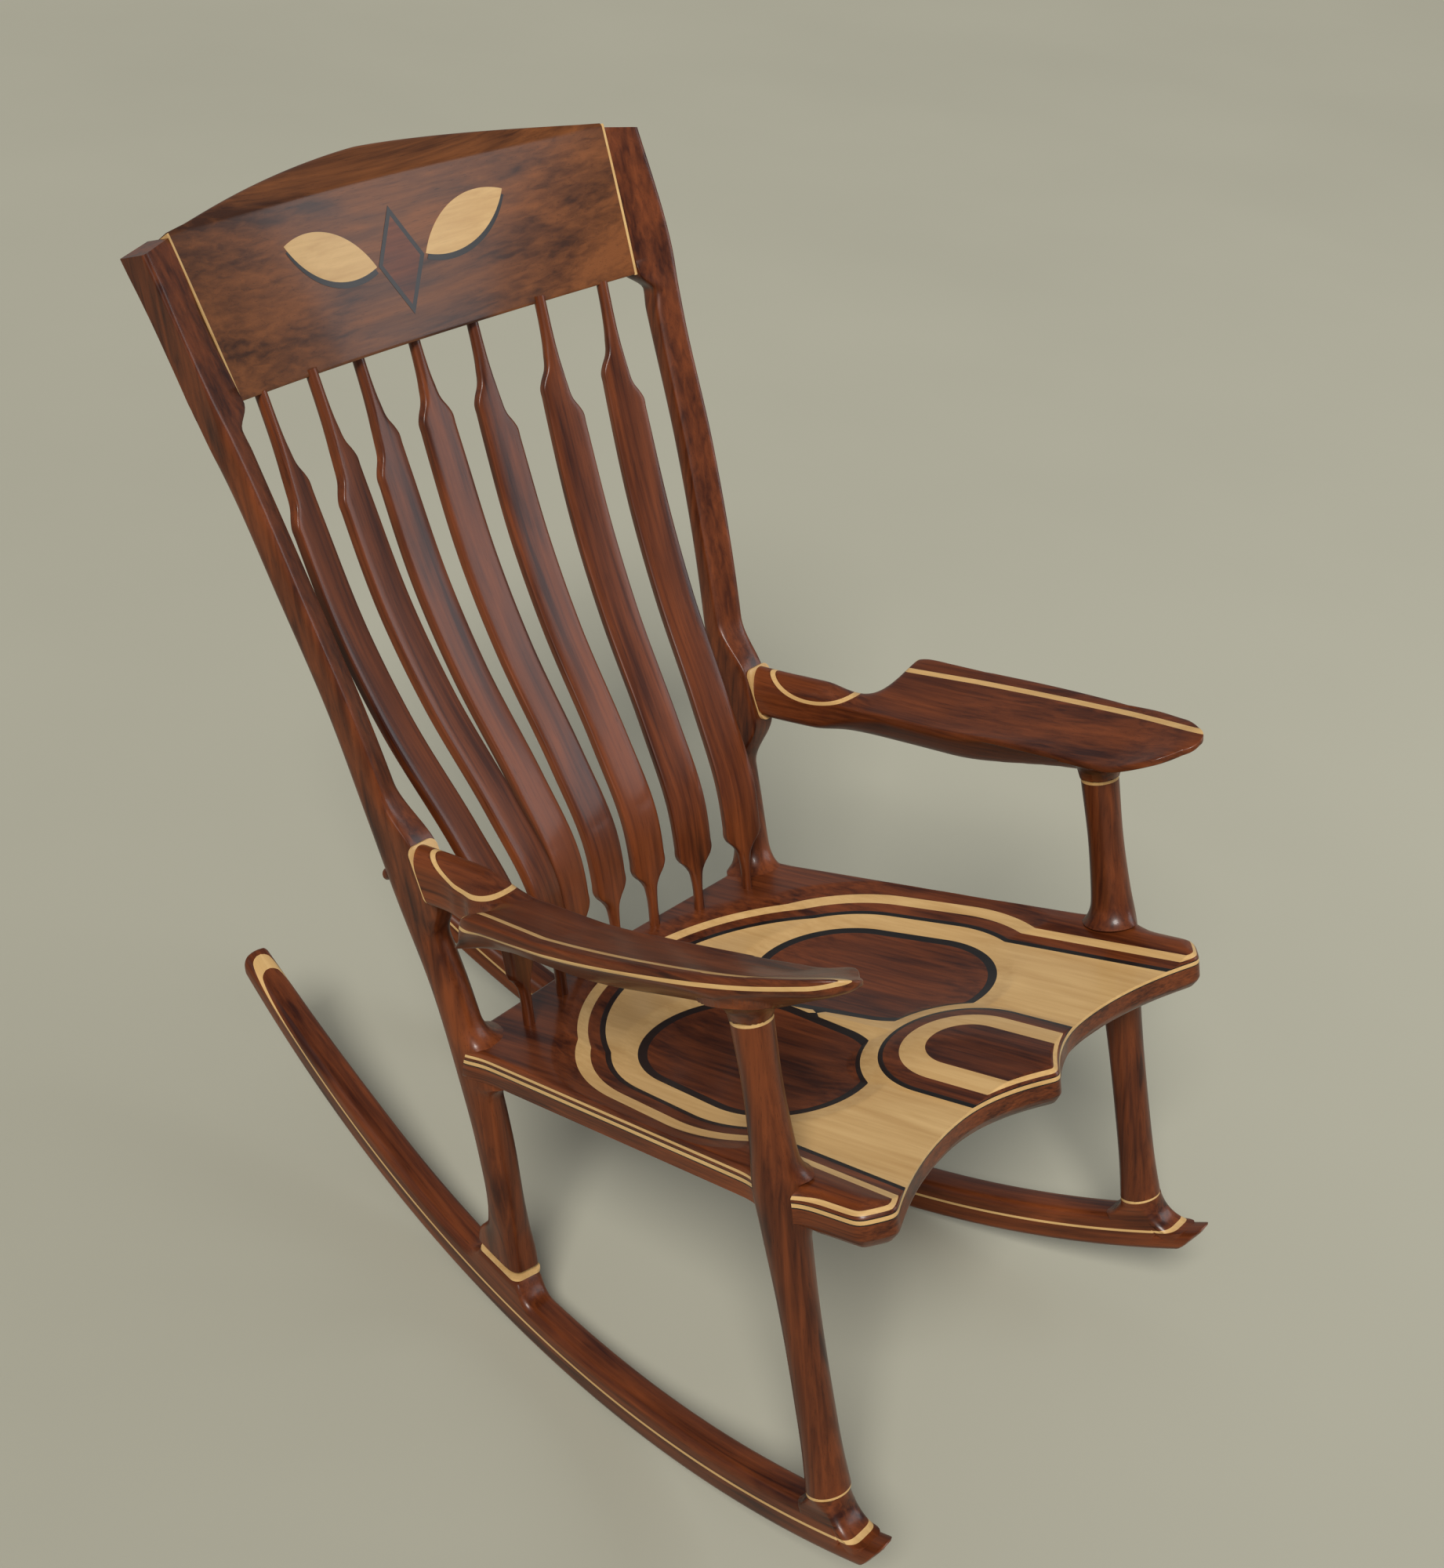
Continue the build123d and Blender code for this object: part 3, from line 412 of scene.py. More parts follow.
def stand(
    name: str, mesh: bpy.types.Mesh, wood: Wood, nodes: tuple[str, ...], side: Side | None = None
) -> bpy.types.Object:
    """Turns a laid-out mesh to the rest pose, dresses it and puts it in the place of CAD nodes.

    Args:
        name: name of the new piece.
        mesh: mesh in millimetres of the upright layout.
        wood: its finish.
        nodes: CAD nodes that it stands for.
        side: RIGHT mirrors the mesh, which is always made for the left.

    Returns:
        The new object.
    """
    own = mesh.copy()
    own.name = name
    points = np.empty(len(own.vertices) * 3)
    own.vertices.foreach_get("co", points)
    across, back, height = points.reshape(-1, 3).T
    if side is Side.RIGHT:
        across = -across
    own.vertices.foreach_set("co", place(across, back, height).ravel())
    if side is Side.RIGHT:
        own.flip_normals()
    own.update()
    own.shade_smooth()
    own.set_sharp_from_angle(angle=np.radians(38.0))
    own.materials.clear()
    own.materials.append(wood.material(Source.PIECE))
    piece = bpy.data.objects.new(name, own)
    bpy.context.scene.collection.objects.link(piece)
    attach(piece, "root")
    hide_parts(*nodes)
    log.info("%s: %d vertices", name, len(own.vertices))
    return piece


def stand_pair(name: str, mesh: bpy.types.Mesh, wood: Wood) -> None:
    """Puts a left-hand mesh and its mirror image in the places of the CAD pair of that name."""
    for side in Side:
        node = f"{name}_{side.name.lower()}"
        stand(f"{node}_look", mesh, wood, (node,), side)


# ---------------------------------------------------------------- rockers
@dataclass(frozen=True)
class Rocker:
    """Laminated rocker: two walnut laminations with a maple line between, and two raised leg blocks.

    Every radius is counted from the rocking axis, and every bearing from straight down, in degrees, growing
    to the rear.

    Attributes:
        width: width of the plank.
        rounding: radius of its long edges.
        line: radii of the maple line's faces.
        top: radius of the upper face.
        toe_top: radius of the upper face at the toe and at the tail's end.
        front_foot: sideways and back of the front leg's foot.
        rear_foot: sideways and back of the back post's foot.
        front_block: radius of the glue face under the front leg.
        leg_radius: radius of the front leg's foot.
        front_fillet: radius of the block's hollow fillet to the rear, and how much more it is to the front.
        step: bearings ahead of the front foot between which the upper face drops to the toe, inside the
            block.
        rear_block: radius of the glue face under the back post.
        rear_blend: half length and blend of the rear block as bearings, and how hollow the blend is.
        toe: back of the toe on the sole and on the upper face.
        tail: back of the place where the upper face starts to fall and of its end.
        tail_slant: bearing by which the tail's sole is shorter than its upper face.
        tail_fall: how late the fall towards the tail sets in, 1 for even.
        crown: rise of the upper face's middle over its edges.
        nose: length over which toe and tail are rounded.
        beyond: a radius beyond the sole, for a lamination with no glue face outside.
        columns: sections along the rocker.
        rows: points across each side of a section.
    """

    width: float = 38.0
    rounding: float = 8.0
    line: tuple[float, float] = (1059.5, 1062.5)
    top: float = 1041.0
    toe_top: float = 1064.0
    front_foot: tuple[float, float] = (285.0, -245.0)
    rear_foot: tuple[float, float] = (204.0, 246.0)
    front_block: float = 1025.0
    leg_radius: float = 21.6
    front_fillet: tuple[float, float] = (18.0, 10.0)
    step: tuple[float, float] = (0.6, 1.15)
    rear_block: float = 1019.0
    rear_blend: tuple[float, float, float] = (1.85, 1.5, 2.2)
    toe: tuple[float, float] = (-299.0, -321.0)
    tail: tuple[float, float] = (480.0, 716.0)
    tail_slant: float = 0.9
    tail_fall: float = 1.8
    crown: float = 2.2
    nose: float = 6.0
    beyond: float = 2000.0
    columns: int = 340
    rows: int = 25

    @staticmethod
    def _bearing(back: float, radius: float) -> float:
        """Bearing in degrees of a place at a radius."""
        return np.degrees(np.arcsin(back / radius))

    def _top_radius(self, angle: Array) -> Array:
        """Radius of the rocker's upper face along its middle.

        The plain rocker has one radius. It steps down to the toe under the front leg and falls away beyond
        the taper's start towards the tail, and it rises to the rear block through a hollow blend.
        """
        front = self._bearing(self.front_foot[1], self.front_block)
        rear = self._bearing(self.rear_foot[1], self.rear_block)
        taper = self._bearing(self.tail[0], self.top)
        tip = self._bearing(self.tail[1], self.toe_top)
        fall = np.clip((angle - taper) / (tip - taper), 0, 1) ** self.tail_fall
        radius = self.top + (self.toe_top - self.top) * fall
        radius = radius + (self.toe_top - radius) * ease(front - angle, *self.step)
        half, blend, hollow = self.rear_blend
        share = np.clip(1.0 - (np.abs(angle - rear) - half) / blend, 0.0, 1.0) ** hollow
        return radius + (self.rear_block - radius) * share

    def _sag(self, aside: Array) -> Array:
        """Fall of the upper face from its middle: a faint crown and rounded edges."""
        over = np.clip(aside - (self.width / 2.0 - self.rounding), 0.0, self.rounding)
        edge = self.rounding - np.sqrt(self.rounding**2 - over**2)
        return self.crown * (aside / self.width * 2.0) ** 2 + edge

    def _across(self, back: Array) -> Array:
        """Middle line of the rocker, straight from foot to foot."""
        slope = (self.rear_foot[0] - self.front_foot[0]) / (self.rear_foot[1] - self.front_foot[1])
        return self.front_foot[0] + slope * (back - self.front_foot[1])

    def lamination(self, inner: float, outer: float) -> Skin:
        """The part of the rocker between two radii, as one closed skin.

        Each row is one cross-section. Its upper side is the rocker's rounded upper face or the inner
        radius, whichever is lower, and its lower side the rounded sole or the outer radius, whichever is
        higher. The section is as wide as the two sides leave it. Rows end where nothing is left between the
        sides, or at the blunt toe and tail, where they shrink to a bull nose. Toe and tail are cut at a
        slant, so the bearing of a point is mixed from a row's bearing on the sole and on the upper face by
        its radius.

        Args:
            inner: radius of the lamination's inner face.
            outer: radius of its outer face.
        """
        half = self.width / 2.0
        toe = (self._bearing(self.toe[1], self.toe_top), self._bearing(self.toe[0], ROCKING_RADIUS))
        tip = self._bearing(self.tail[1], self.toe_top)
        tail = (tip, tip - self.tail_slant)
        scan = np.linspace(0.0, 1.0, 6000)
        left = self._top_radius(toe[0] + (tail[0] - toe[0]) * scan) < outer - 0.05
        first, last = scan[left].min(), scan[left].max()
        even = np.linspace(0.0, 1.0, self.columns)
        share = first + (last - first) * (0.35 * (0.5 - 0.5 * np.cos(np.pi * even)) + 0.65 * even)
        upper_bearing = toe[0] + (tail[0] - toe[0]) * share
        sole_bearing = toe[1] + (tail[1] - toe[1]) * share
        top = self._top_radius(upper_bearing)
        from_end = np.minimum(share, 1.0 - share) * np.radians(tail[0] - toe[0]) * ROCKING_RADIUS
        squeeze = np.sqrt(np.clip(1.0 - (1.0 - np.clip(from_end / self.nose, 0.0, 1.0)) ** 2, 0.004, 1.0))
        places = np.linspace(0.0, half, 200)
        reach = np.maximum(np.interp(outer - top, self._sag(places), places), 0.3) * squeeze
        side = np.sin(np.linspace(-np.pi / 2, np.pi / 2, self.rows))
        offset = reach[:, None] * side
        aside = np.minimum(np.abs(offset) / squeeze[:, None], half)
        over = np.clip(aside - (half - self.rounding), 0.0, self.rounding)
        bend = self.rounding - np.sqrt(self.rounding**2 - over**2)
        blunt = (1.0 - squeeze[:, None]) * self.nose
        upper = np.maximum(top[:, None] + self._sag(aside) + blunt, inner)
        lower = np.minimum(ROCKING_RADIUS - bend - blunt, outer)
        upper = np.minimum(upper, lower - 0.02)
        radius = np.concatenate([upper, lower[:, ::-1]], axis=1)
        offset = np.concatenate([offset, offset[:, ::-1]], axis=1)
        mix = np.clip((ROCKING_RADIUS - radius) / (ROCKING_RADIUS - self.toe_top), 0.0, 1.0)
        bearing = np.radians(sole_bearing[:, None] + (upper_bearing - sole_bearing)[:, None] * mix)
        back = radius * np.sin(bearing)
        height = ROCKING_RADIUS - radius * np.cos(bearing)
        grain = np.stack([bearing * ROCKING_RADIUS, offset, radius], -1)
        return Skin(np.stack([self._across(back) + offset, back, height], -1), grain)

    def block(self, inner: float, outer: float) -> Skin:
        """The part of the front leg's block between two radii.

        Rings run down from the flat round glue face, or from the inner radius, to a hair under the rocker's
        own upper face, which lies lower on the toe's side. On the way down a ring spreads along the rocker
        as a hollow fillet, wider towards the toe, grows squarer and narrows to the rocker's width.

        Args:
            inner: radius of the lamination's inner face.
            outer: radius of its outer face.
        """
        angle = np.linspace(0.0, 2 * np.pi, 72, endpoint=False)[None, :]
        half = self.width / 2.0 - 0.1
        sole_aside = np.clip(self.leg_radius * rounded_square(angle, np.array(4.0))[1], -half, half)
        base = self.top + (self.toe_top - self.top) * ease(-np.cos(angle), -0.2, 0.6)
        low = np.minimum(outer, base + self._sag(np.abs(sole_aside)) + 1.0)
        high = np.minimum(max(inner, self.front_block), low - 0.02)
        reach = high + (low - high) * np.linspace(0.0, 1.0, 26)[:, None]
        settled = ease(reach, self.front_block, self.top)
        squareness = ease((reach - self.front_block - 2.0) / (base - self.front_block - 2.0), 0.0, 1.0)
        cosine, sine = rounded_square(angle, 2.0 + 2.0 * squareness)
        aside = np.clip(self.leg_radius * sine, -half, half)
        aside = aside + (self.leg_radius * sine - aside) * (1.0 - settled)
        behind, more = self.front_fillet
        spread = fillet_rise(base - reach, behind + more * ease(-np.cos(angle), 0.0, 1.0))
        along = (self.leg_radius + spread) * cosine
        bearing = np.arcsin(self.front_foot[1] / self.front_block) + along / ROCKING_RADIUS
        radius = reach + 0.5 * along**2 / self.front_block * (1.0 - settled)
        back = radius * np.sin(bearing)
        height = ROCKING_RADIUS - radius * np.cos(bearing)
        grain = np.stack([bearing * ROCKING_RADIUS, aside, radius], -1)
        return Skin(np.stack([self._across(back) + aside, back, height], -1), grain)

    def build(self) -> None:
        """Makes both rockers, lamination by lamination."""
        layers = (
            ("rocker_lower", (self.line[1], self.beyond), WALNUT),
            ("rocker_line", self.line, MAPLE),
            ("rocker_upper", (0.0, self.line[0]), WALNUT),
        )
        for name, radii, wood in layers:
            plank, block = mesh_from(name, self.lamination(*radii)), mesh_from("block", self.block(*radii))
            stand_pair(name, joined(plank, block), wood)


# ---------------------------------------------------------------- front legs
@dataclass(frozen=True)
class FrontLeg:
    """Round front leg that swells into the seat's notch and spreads over the seat's faces.

    Attributes:
        foot: middle of its lower end, across, back and height.
        head: middle of its upper end.
        shares: places along the leg, 0 at the foot.
        diameters: diameters there.
        foot_lean: degrees by which the foot ring's plane is tipped.
        foot_reach: share of the leg over which the tipping fades out.
        head_slope: rise of the arm ring's plane for each millimetre forwards.
        seat_top: height at which the leg leaves the seat's top.
        seat_bottom: height at which it leaves the seat's base.
        flare: radius of the hollow fillets at the seat.
        flare_share: how much of the fillet's spread is used.
        board: shift of the leg in its board.
        rows: rings up the leg.
        columns: points round each ring.
    """

    foot: tuple[float, float, float] = (285.0, -244.3, 92.5)
    head: tuple[float, float, float] = (286.5, -188.0, 580.0)
    shares: tuple[float, ...] = (0.0, 0.06, 0.20, 0.42, 0.58, 0.66, 0.75, 0.86, 1.0)
    diameters: tuple[float, ...] = (43.0, 39.5, 37.0, 38.5, 45.0, 48.0, 41.0, 36.5, 39.0)
    foot_lean: float = 13.8
    foot_reach: float = 0.16
    head_slope: float = 0.115
    seat_top: float = 421.0
    seat_bottom: float = 381.0
    flare: float = 24.0
    flare_share: float = 0.62
    board: tuple[float, float] = (115.0, 700.0)
    rows: int = 150
    columns: int = 56

    def skin(self) -> Skin:
        """Circles along the leaning axis, widened by a fillet above and below the seat on the seat's side.

        The lowest ring is tipped onto the foot ring's plane, and the tipping fades out up the leg.
        """
        share = np.linspace(0.0, 1.0, self.rows)[:, None]
        angle = np.linspace(0.0, 2 * np.pi, self.columns, endpoint=False)[None, :]
        foot, head = np.array(self.foot), np.array(self.head)
        middle = foot + (head - foot) * share[..., None]
        radius = smooth_track(share, self.shares, self.diameters) / 2.0
        height = middle[..., 2]
        inward = ease(-np.cos(angle), -0.35, 0.5)
        above = fillet_rise(height - self.seat_top, self.flare) * (height >= self.seat_top - 1.0)
        below = fillet_rise(self.seat_bottom - height, self.flare) * (height <= self.seat_bottom + 1.0)
        inside = ease(height, self.seat_bottom, self.seat_bottom + 8)
        inside = inside * ease(-height, -self.seat_top, 8 - self.seat_top)
        spread = np.maximum(np.maximum(above, below), self.flare * inside)
        reach = radius + self.flare_share * inward * spread
        across = middle[..., 0] + reach * np.cos(angle)
        back = middle[..., 1] + reach * np.sin(angle)
        lean = np.tan(np.radians(self.foot_lean)) * -(back - middle[..., 1])
        upright = ease(share, 0.0, self.foot_reach)
        level = height + lean * (1.0 - upright)
        level = level - self.head_slope * (back - middle[..., 1]) * upright
        grain = np.stack([level, across + self.board[0], back + self.board[1]], -1)
        return Skin(np.stack([across, back, level], -1), grain)

    def build(self) -> None:
        """Makes both front legs."""
        stand_pair("front_leg", mesh_from("front_leg", self.skin()), WALNUT)


# ---------------------------------------------------------------- back posts
@dataclass(frozen=True)
class BackPost:
    """Post from the rocker to the crest: round at the seat, a wedge above the arm, square at both ends.

    Attributes:
        stations: sideways, back, height, width, depth, how much thinner the inner edge is, turn and
            squareness.
        joint: place across of the joint with the crest, its height and its lean.
        outer_face: heights and the furthest place across that the head reaches there.
        plate: back, height and lean of the arm's glue face.
        plate_window: heights between which the front of the post swells to the glue face and falls back
            again.
        seat_top: height at which the post leaves the seat's top.
        seat_bottom: height at which it leaves the seat's base.
        flares: radii of the hollow fillets above and below the seat.
        flare_share: how much of the fillets' spread is used.
        reach: heights of the lowest and the highest section.
        foot_ring: back, height and slope of the rear ring's plane.
        foot_fade: height at which the tipping onto the ring's plane has faded out.
        head_blend: heights between which the inner face comes onto the joint.
        crown: height at which the head's top face starts to tip, its middle across and back, and both slopes.
        board: shift of the post in its board.
        rows: sections up the post.
        columns: points round each section.
    """

    stations: tuple[tuple[float, ...], ...] = (
        (203.0, 249.0, 68.0, 38.0, 74.0, 0.0, 9.4, 4.5),
        (204.5, 246.0, 102.0, 38.0, 66.0, 0.0, 9.4, 4.5),
        (208.5, 237.0, 136.0, 37.5, 46.0, 0.0, 8.0, 3.0),
        (214.0, 230.5, 170.0, 37.0, 39.0, 0.0, 5.0, 2.4),
        (222.5, 227.0, 260.0, 37.0, 38.0, 0.0, 0.0, 2.3),
        (230.5, 232.5, 350.0, 38.0, 40.0, 0.0, -2.0, 2.3),
        (238.0, 248.0, 450.0, 37.0, 39.0, 1.0, -3.0, 2.3),
        (249.0, 269.0, 550.0, 36.0, 39.0, 4.0, -3.0, 2.6),
        (261.5, 284.0, 650.0, 34.0, 40.0, 10.0, -3.0, 3.4),
        (273.0, 303.0, 750.0, 33.0, 38.0, 14.0, -3.0, 4.0),
        (287.0, 332.0, 860.0, 32.5, 37.0, 14.0, -4.0, 4.2),
        (303.5, 377.0, 1003.0, 32.0, 37.0, 10.0, -8.0, 4.2),
        (308.5, 387.0, 1033.0, 33.0, 35.5, 6.0, -12.0, 5.0),
        (305.5, 395.6, 1052.0, 48.0, 36.0, 7.0, -15.0, 7.0),
        (316.8, 446.1, 1192.0, 48.0, 36.0, 7.0, -15.0, 7.0),
    )
    joint: tuple[float, float, float] = (278.5, 1045.0, 0.1118)
    outer_face: tuple[tuple[float, float], ...] = (
        (940.0, 330.0),
        (1003.0, 319.5),
        (1051.0, 324.5),
        (1093.0, 328.5),
        (1140.0, 332.5),
        (1192.0, 336.0),
    )
    plate: tuple[float, float, float] = ARM_PLATE
    plate_window: tuple[float, float, float, float] = (505.0, 572.0, 616.0, 672.0)
    seat_top: float = 388.0
    seat_bottom: float = 343.0
    flares: tuple[float, float] = (26.0, 24.0)
    flare_share: float = 0.9
    reach: tuple[float, float] = (90.0, 1192.0)
    foot_ring: tuple[float, float, float] = (246.0, 107.0, 0.2485)
    foot_fade: float = 190.0
    head_blend: tuple[float, float] = (1024.0, 1047.0)
    crown: tuple[float, float, float, float, float] = (1120.0, 313.0, 437.0, -0.21, -0.19)
    board: tuple[float, float] = (900.0, 60.0)
    rows: int = 330
    columns: int = 64

    def _flare(self, height: Array) -> Array:
        """Extra half width of the fillets above and below the seat."""
        upper, lower = self.flares
        above = fillet_rise(height - self.seat_top, upper) * (height >= self.seat_top)
        below = fillet_rise(self.seat_bottom - height, lower) * (height <= self.seat_bottom)
        within = lower * (height > self.seat_bottom) * (height < self.seat_top)
        return np.maximum(np.maximum(above, below), within) * self.flare_share

    def skin(self) -> Skin:
        """Level sections up the post: a rounded square bent to four corners that follow the stations.

        The foot is tipped onto the rear ring's plane, the front swells to the arm's glue face at arm
        height, and the inner face of the head is laid on the joint with the crest.
        """
        table = np.array(self.stations)
        lowest, highest = self.reach
        rise = np.linspace(lowest, highest, self.rows)
        track = smooth_track(rise, table[:, 2], np.delete(table, 2, axis=1))
        middle_x, middle_y, width, depth, thinning, turn, power = (column[:, None] for column in track.T)
        angle = np.linspace(0.0, 2 * np.pi, self.columns, endpoint=False)[None, :]
        u, v = rounded_square(angle, power)
        height = np.repeat(rise[:, None], self.columns, axis=1)
        spread = self._flare(height)
        local_x = u * (width / 2.0 + spread * ease(-u, -0.3, 0.5))
        front_share = (1.0 - u) / 2.0
        local_y = np.where(v < 0, v * (depth / 2.0 - thinning * front_share), v * depth / 2.0)
        local_y = local_y + v * spread * ease(-v, -0.3, 0.5)
        bearing = np.radians(turn)
        across = middle_x + local_x * np.cos(bearing) - local_y * np.sin(bearing)
        back = middle_y + local_x * np.sin(bearing) + local_y * np.cos(bearing)
        plate_back, plate_height, lean = self.plate
        plate = plate_back + (height - plate_height) * lean
        window = ease(height, *self.plate_window[:2]) * (1.0 - ease(height, *self.plate_window[2:]))
        front = ease(-v, 0.0, 0.75)
        back = back + (np.minimum(plate, back) - back) * window * front
        joint_x = self.joint[0] + (height - self.joint[1]) * self.joint[2]
        head = ease(height, *self.head_blend) * ease(-u, 0.0, 0.6)
        shift = (joint_x - across) * head
        back = back + shift * np.tan(bearing)
        across = np.minimum(across + shift, np.interp(height, *np.array(self.outer_face).T))
        ring_back, ring_height, ring_slope = self.foot_ring
        foot = ring_height + ring_slope * (back - ring_back)
        level = height + (foot - lowest) * (1.0 - ease(height, lowest, self.foot_fade))
        crown_start, crown_across, crown_back, slope_across, slope_back = self.crown
        crown = slope_across * (across - crown_across) + slope_back * (back - crown_back)
        level = level + crown * ease(height, crown_start, highest)
        grain = np.stack([level, across + self.board[0], back + self.board[1]], -1)
        return Skin(np.stack([across, back, level], -1), grain)

    def build(self) -> None:
        """Makes both back posts."""
        stand_pair("back_post", mesh_from("back_post", self.skin()), WALNUT)


# ---------------------------------------------------------------- slats
@dataclass(frozen=True)
class Slat:
    """Flat back slat, bent twice, with thin round necks at both ends.

    Attributes:
        bend: back and height of the slat's middle line.
        low: heights and half widths from the lower neck to the blade.
        top: heights and half widths from the blade to the upper neck.
        ends: sideways and back of the lower and the upper end, for the middle slat and the pairs beside it.
        reach: heights of the lowest and the highest section.
        shoulder_drop: how much lower the outer shoulder of a side slat is.
        width: width of the blade.
        thickness: thickness of the blade.
        crown: share of its thickness that the blade loses towards its edges.
        neck: diameter of the necks.
        board: shift in the board for each millimetre that a slat stands off the middle.
        rows: sections up the slat.
        columns: points round each section.
    """

    bend: tuple[tuple[float, float], ...] = (
        (236, 372),
        (239, 441),
        (249, 517),
        (287, 598),
        (348, 710),
        (384, 795),
        (419, 913),
        (452, 1045),
    )
    low: tuple[tuple[float, float], ...] = (
        (372.0, 6.0),
        (425.0, 6.4),
        (437.0, 8.8),
        (444.0, 12.5),
        (452.0, 19.5),
        (457.0, 22.0),
        (470.0, 22.3),
        (640.0, 22.3),
    )
    top: tuple[tuple[float, float], ...] = (
        (940.0, 21.5),
        (951.0, 21.2),
        (957.0, 18.5),
        (967.0, 12.5),
        (985.0, 9.0),
        (1012.0, 6.8),
        (1046.0, 6.2),
    )
    ends: tuple[tuple[tuple[float, float], tuple[float, float]], ...] = (
        ((0.0, 241.0), (0.0, 454.0)),
        ((59.0, 238.0), (81.0, 451.0)),
        ((112.0, 218.0), (163.0, 435.0)),
        ((178.0, 203.0), (242.0, 414.0)),
    )
    reach: tuple[float, float] = (378.0, 1043.0)
    shoulder_drop: float = 34.0
    width: float = 44.0
    thickness: float = 12.5
    crown: float = 0.10
    neck: float = 12.0
    board: float = 40.0
    rows: int = 300
    columns: int = 56

    def _half_width(self, height: Array, drop: float) -> Array:
        """Half width at a height: neck, short hollow shoulder, blade, shoulder and neck."""
        table = np.array(self.low + tuple((level - drop, half) for level, half in self.top))
        return smooth_track(height, table[:, 0], table[:, 1])

    def skin(self, seat_end: tuple[float, float], crest_end: tuple[float, float]) -> Skin:
        """Rounded flat sections up the bend, placed on the seat and turned towards the crest.

        Args:
            seat_end: sideways and back of the lower end.
            crest_end: sideways and back of the upper end.
        """
        table = np.array(self.bend, float)
        height = np.linspace(*self.reach, self.rows)[:, None]
        run = smooth_track(height[:, 0], table[:, 1], table[:, 0])[:, None] - table[0, 0]
        turn = np.arctan2(crest_end[0] - seat_end[0], crest_end[1] - seat_end[1])
        drop = self.shoulder_drop if turn > 0.0 else 0.0
        angle = np.linspace(0.0, 2 * np.pi, self.columns, endpoint=False)[None, :]
        outer = self._half_width(height, drop)
        inner = self._half_width(height, 0.0)
        flat = ease(np.maximum(outer, inner), self.neck / 2.0, self.width / 2.5)
        u, v = rounded_square(angle, 2.0 + 5.0 * flat)
        aside = u * np.where(u > 0, outer, inner)
        crown = 1.0 - self.crown * np.abs(u) ** 2 * flat
        through = v * self.thickness / 2.0 * crown
        slope = np.gradient(run[:, 0], height[:, 0])[:, None]
        length = np.sqrt(1.0 + slope**2)
        level = height - through * slope / length
        depth = run + through / length
        across = seat_end[0] + aside * np.cos(turn) + depth * np.sin(turn)
        back = seat_end[1] - aside * np.sin(turn) + depth * np.cos(turn)
        board = self.board * seat_end[0] + 0 * aside
        grain = np.stack([level, aside + board, through + board], -1)
        return Skin(np.stack([across, back, level], -1), grain)

    def build(self) -> None:
        """Makes the middle slat and three pairs beside it."""
        middle = mesh_from("slat_middle", self.skin(*self.ends[0]))
        stand("slat_middle_look", middle, WALNUT, ("slat_middle",))
        for number, ends in enumerate(self.ends[1:], start=1):
            name = f"slat_{number}"
            stand_pair(name, mesh_from(name, self.skin(*ends)), WALNUT)


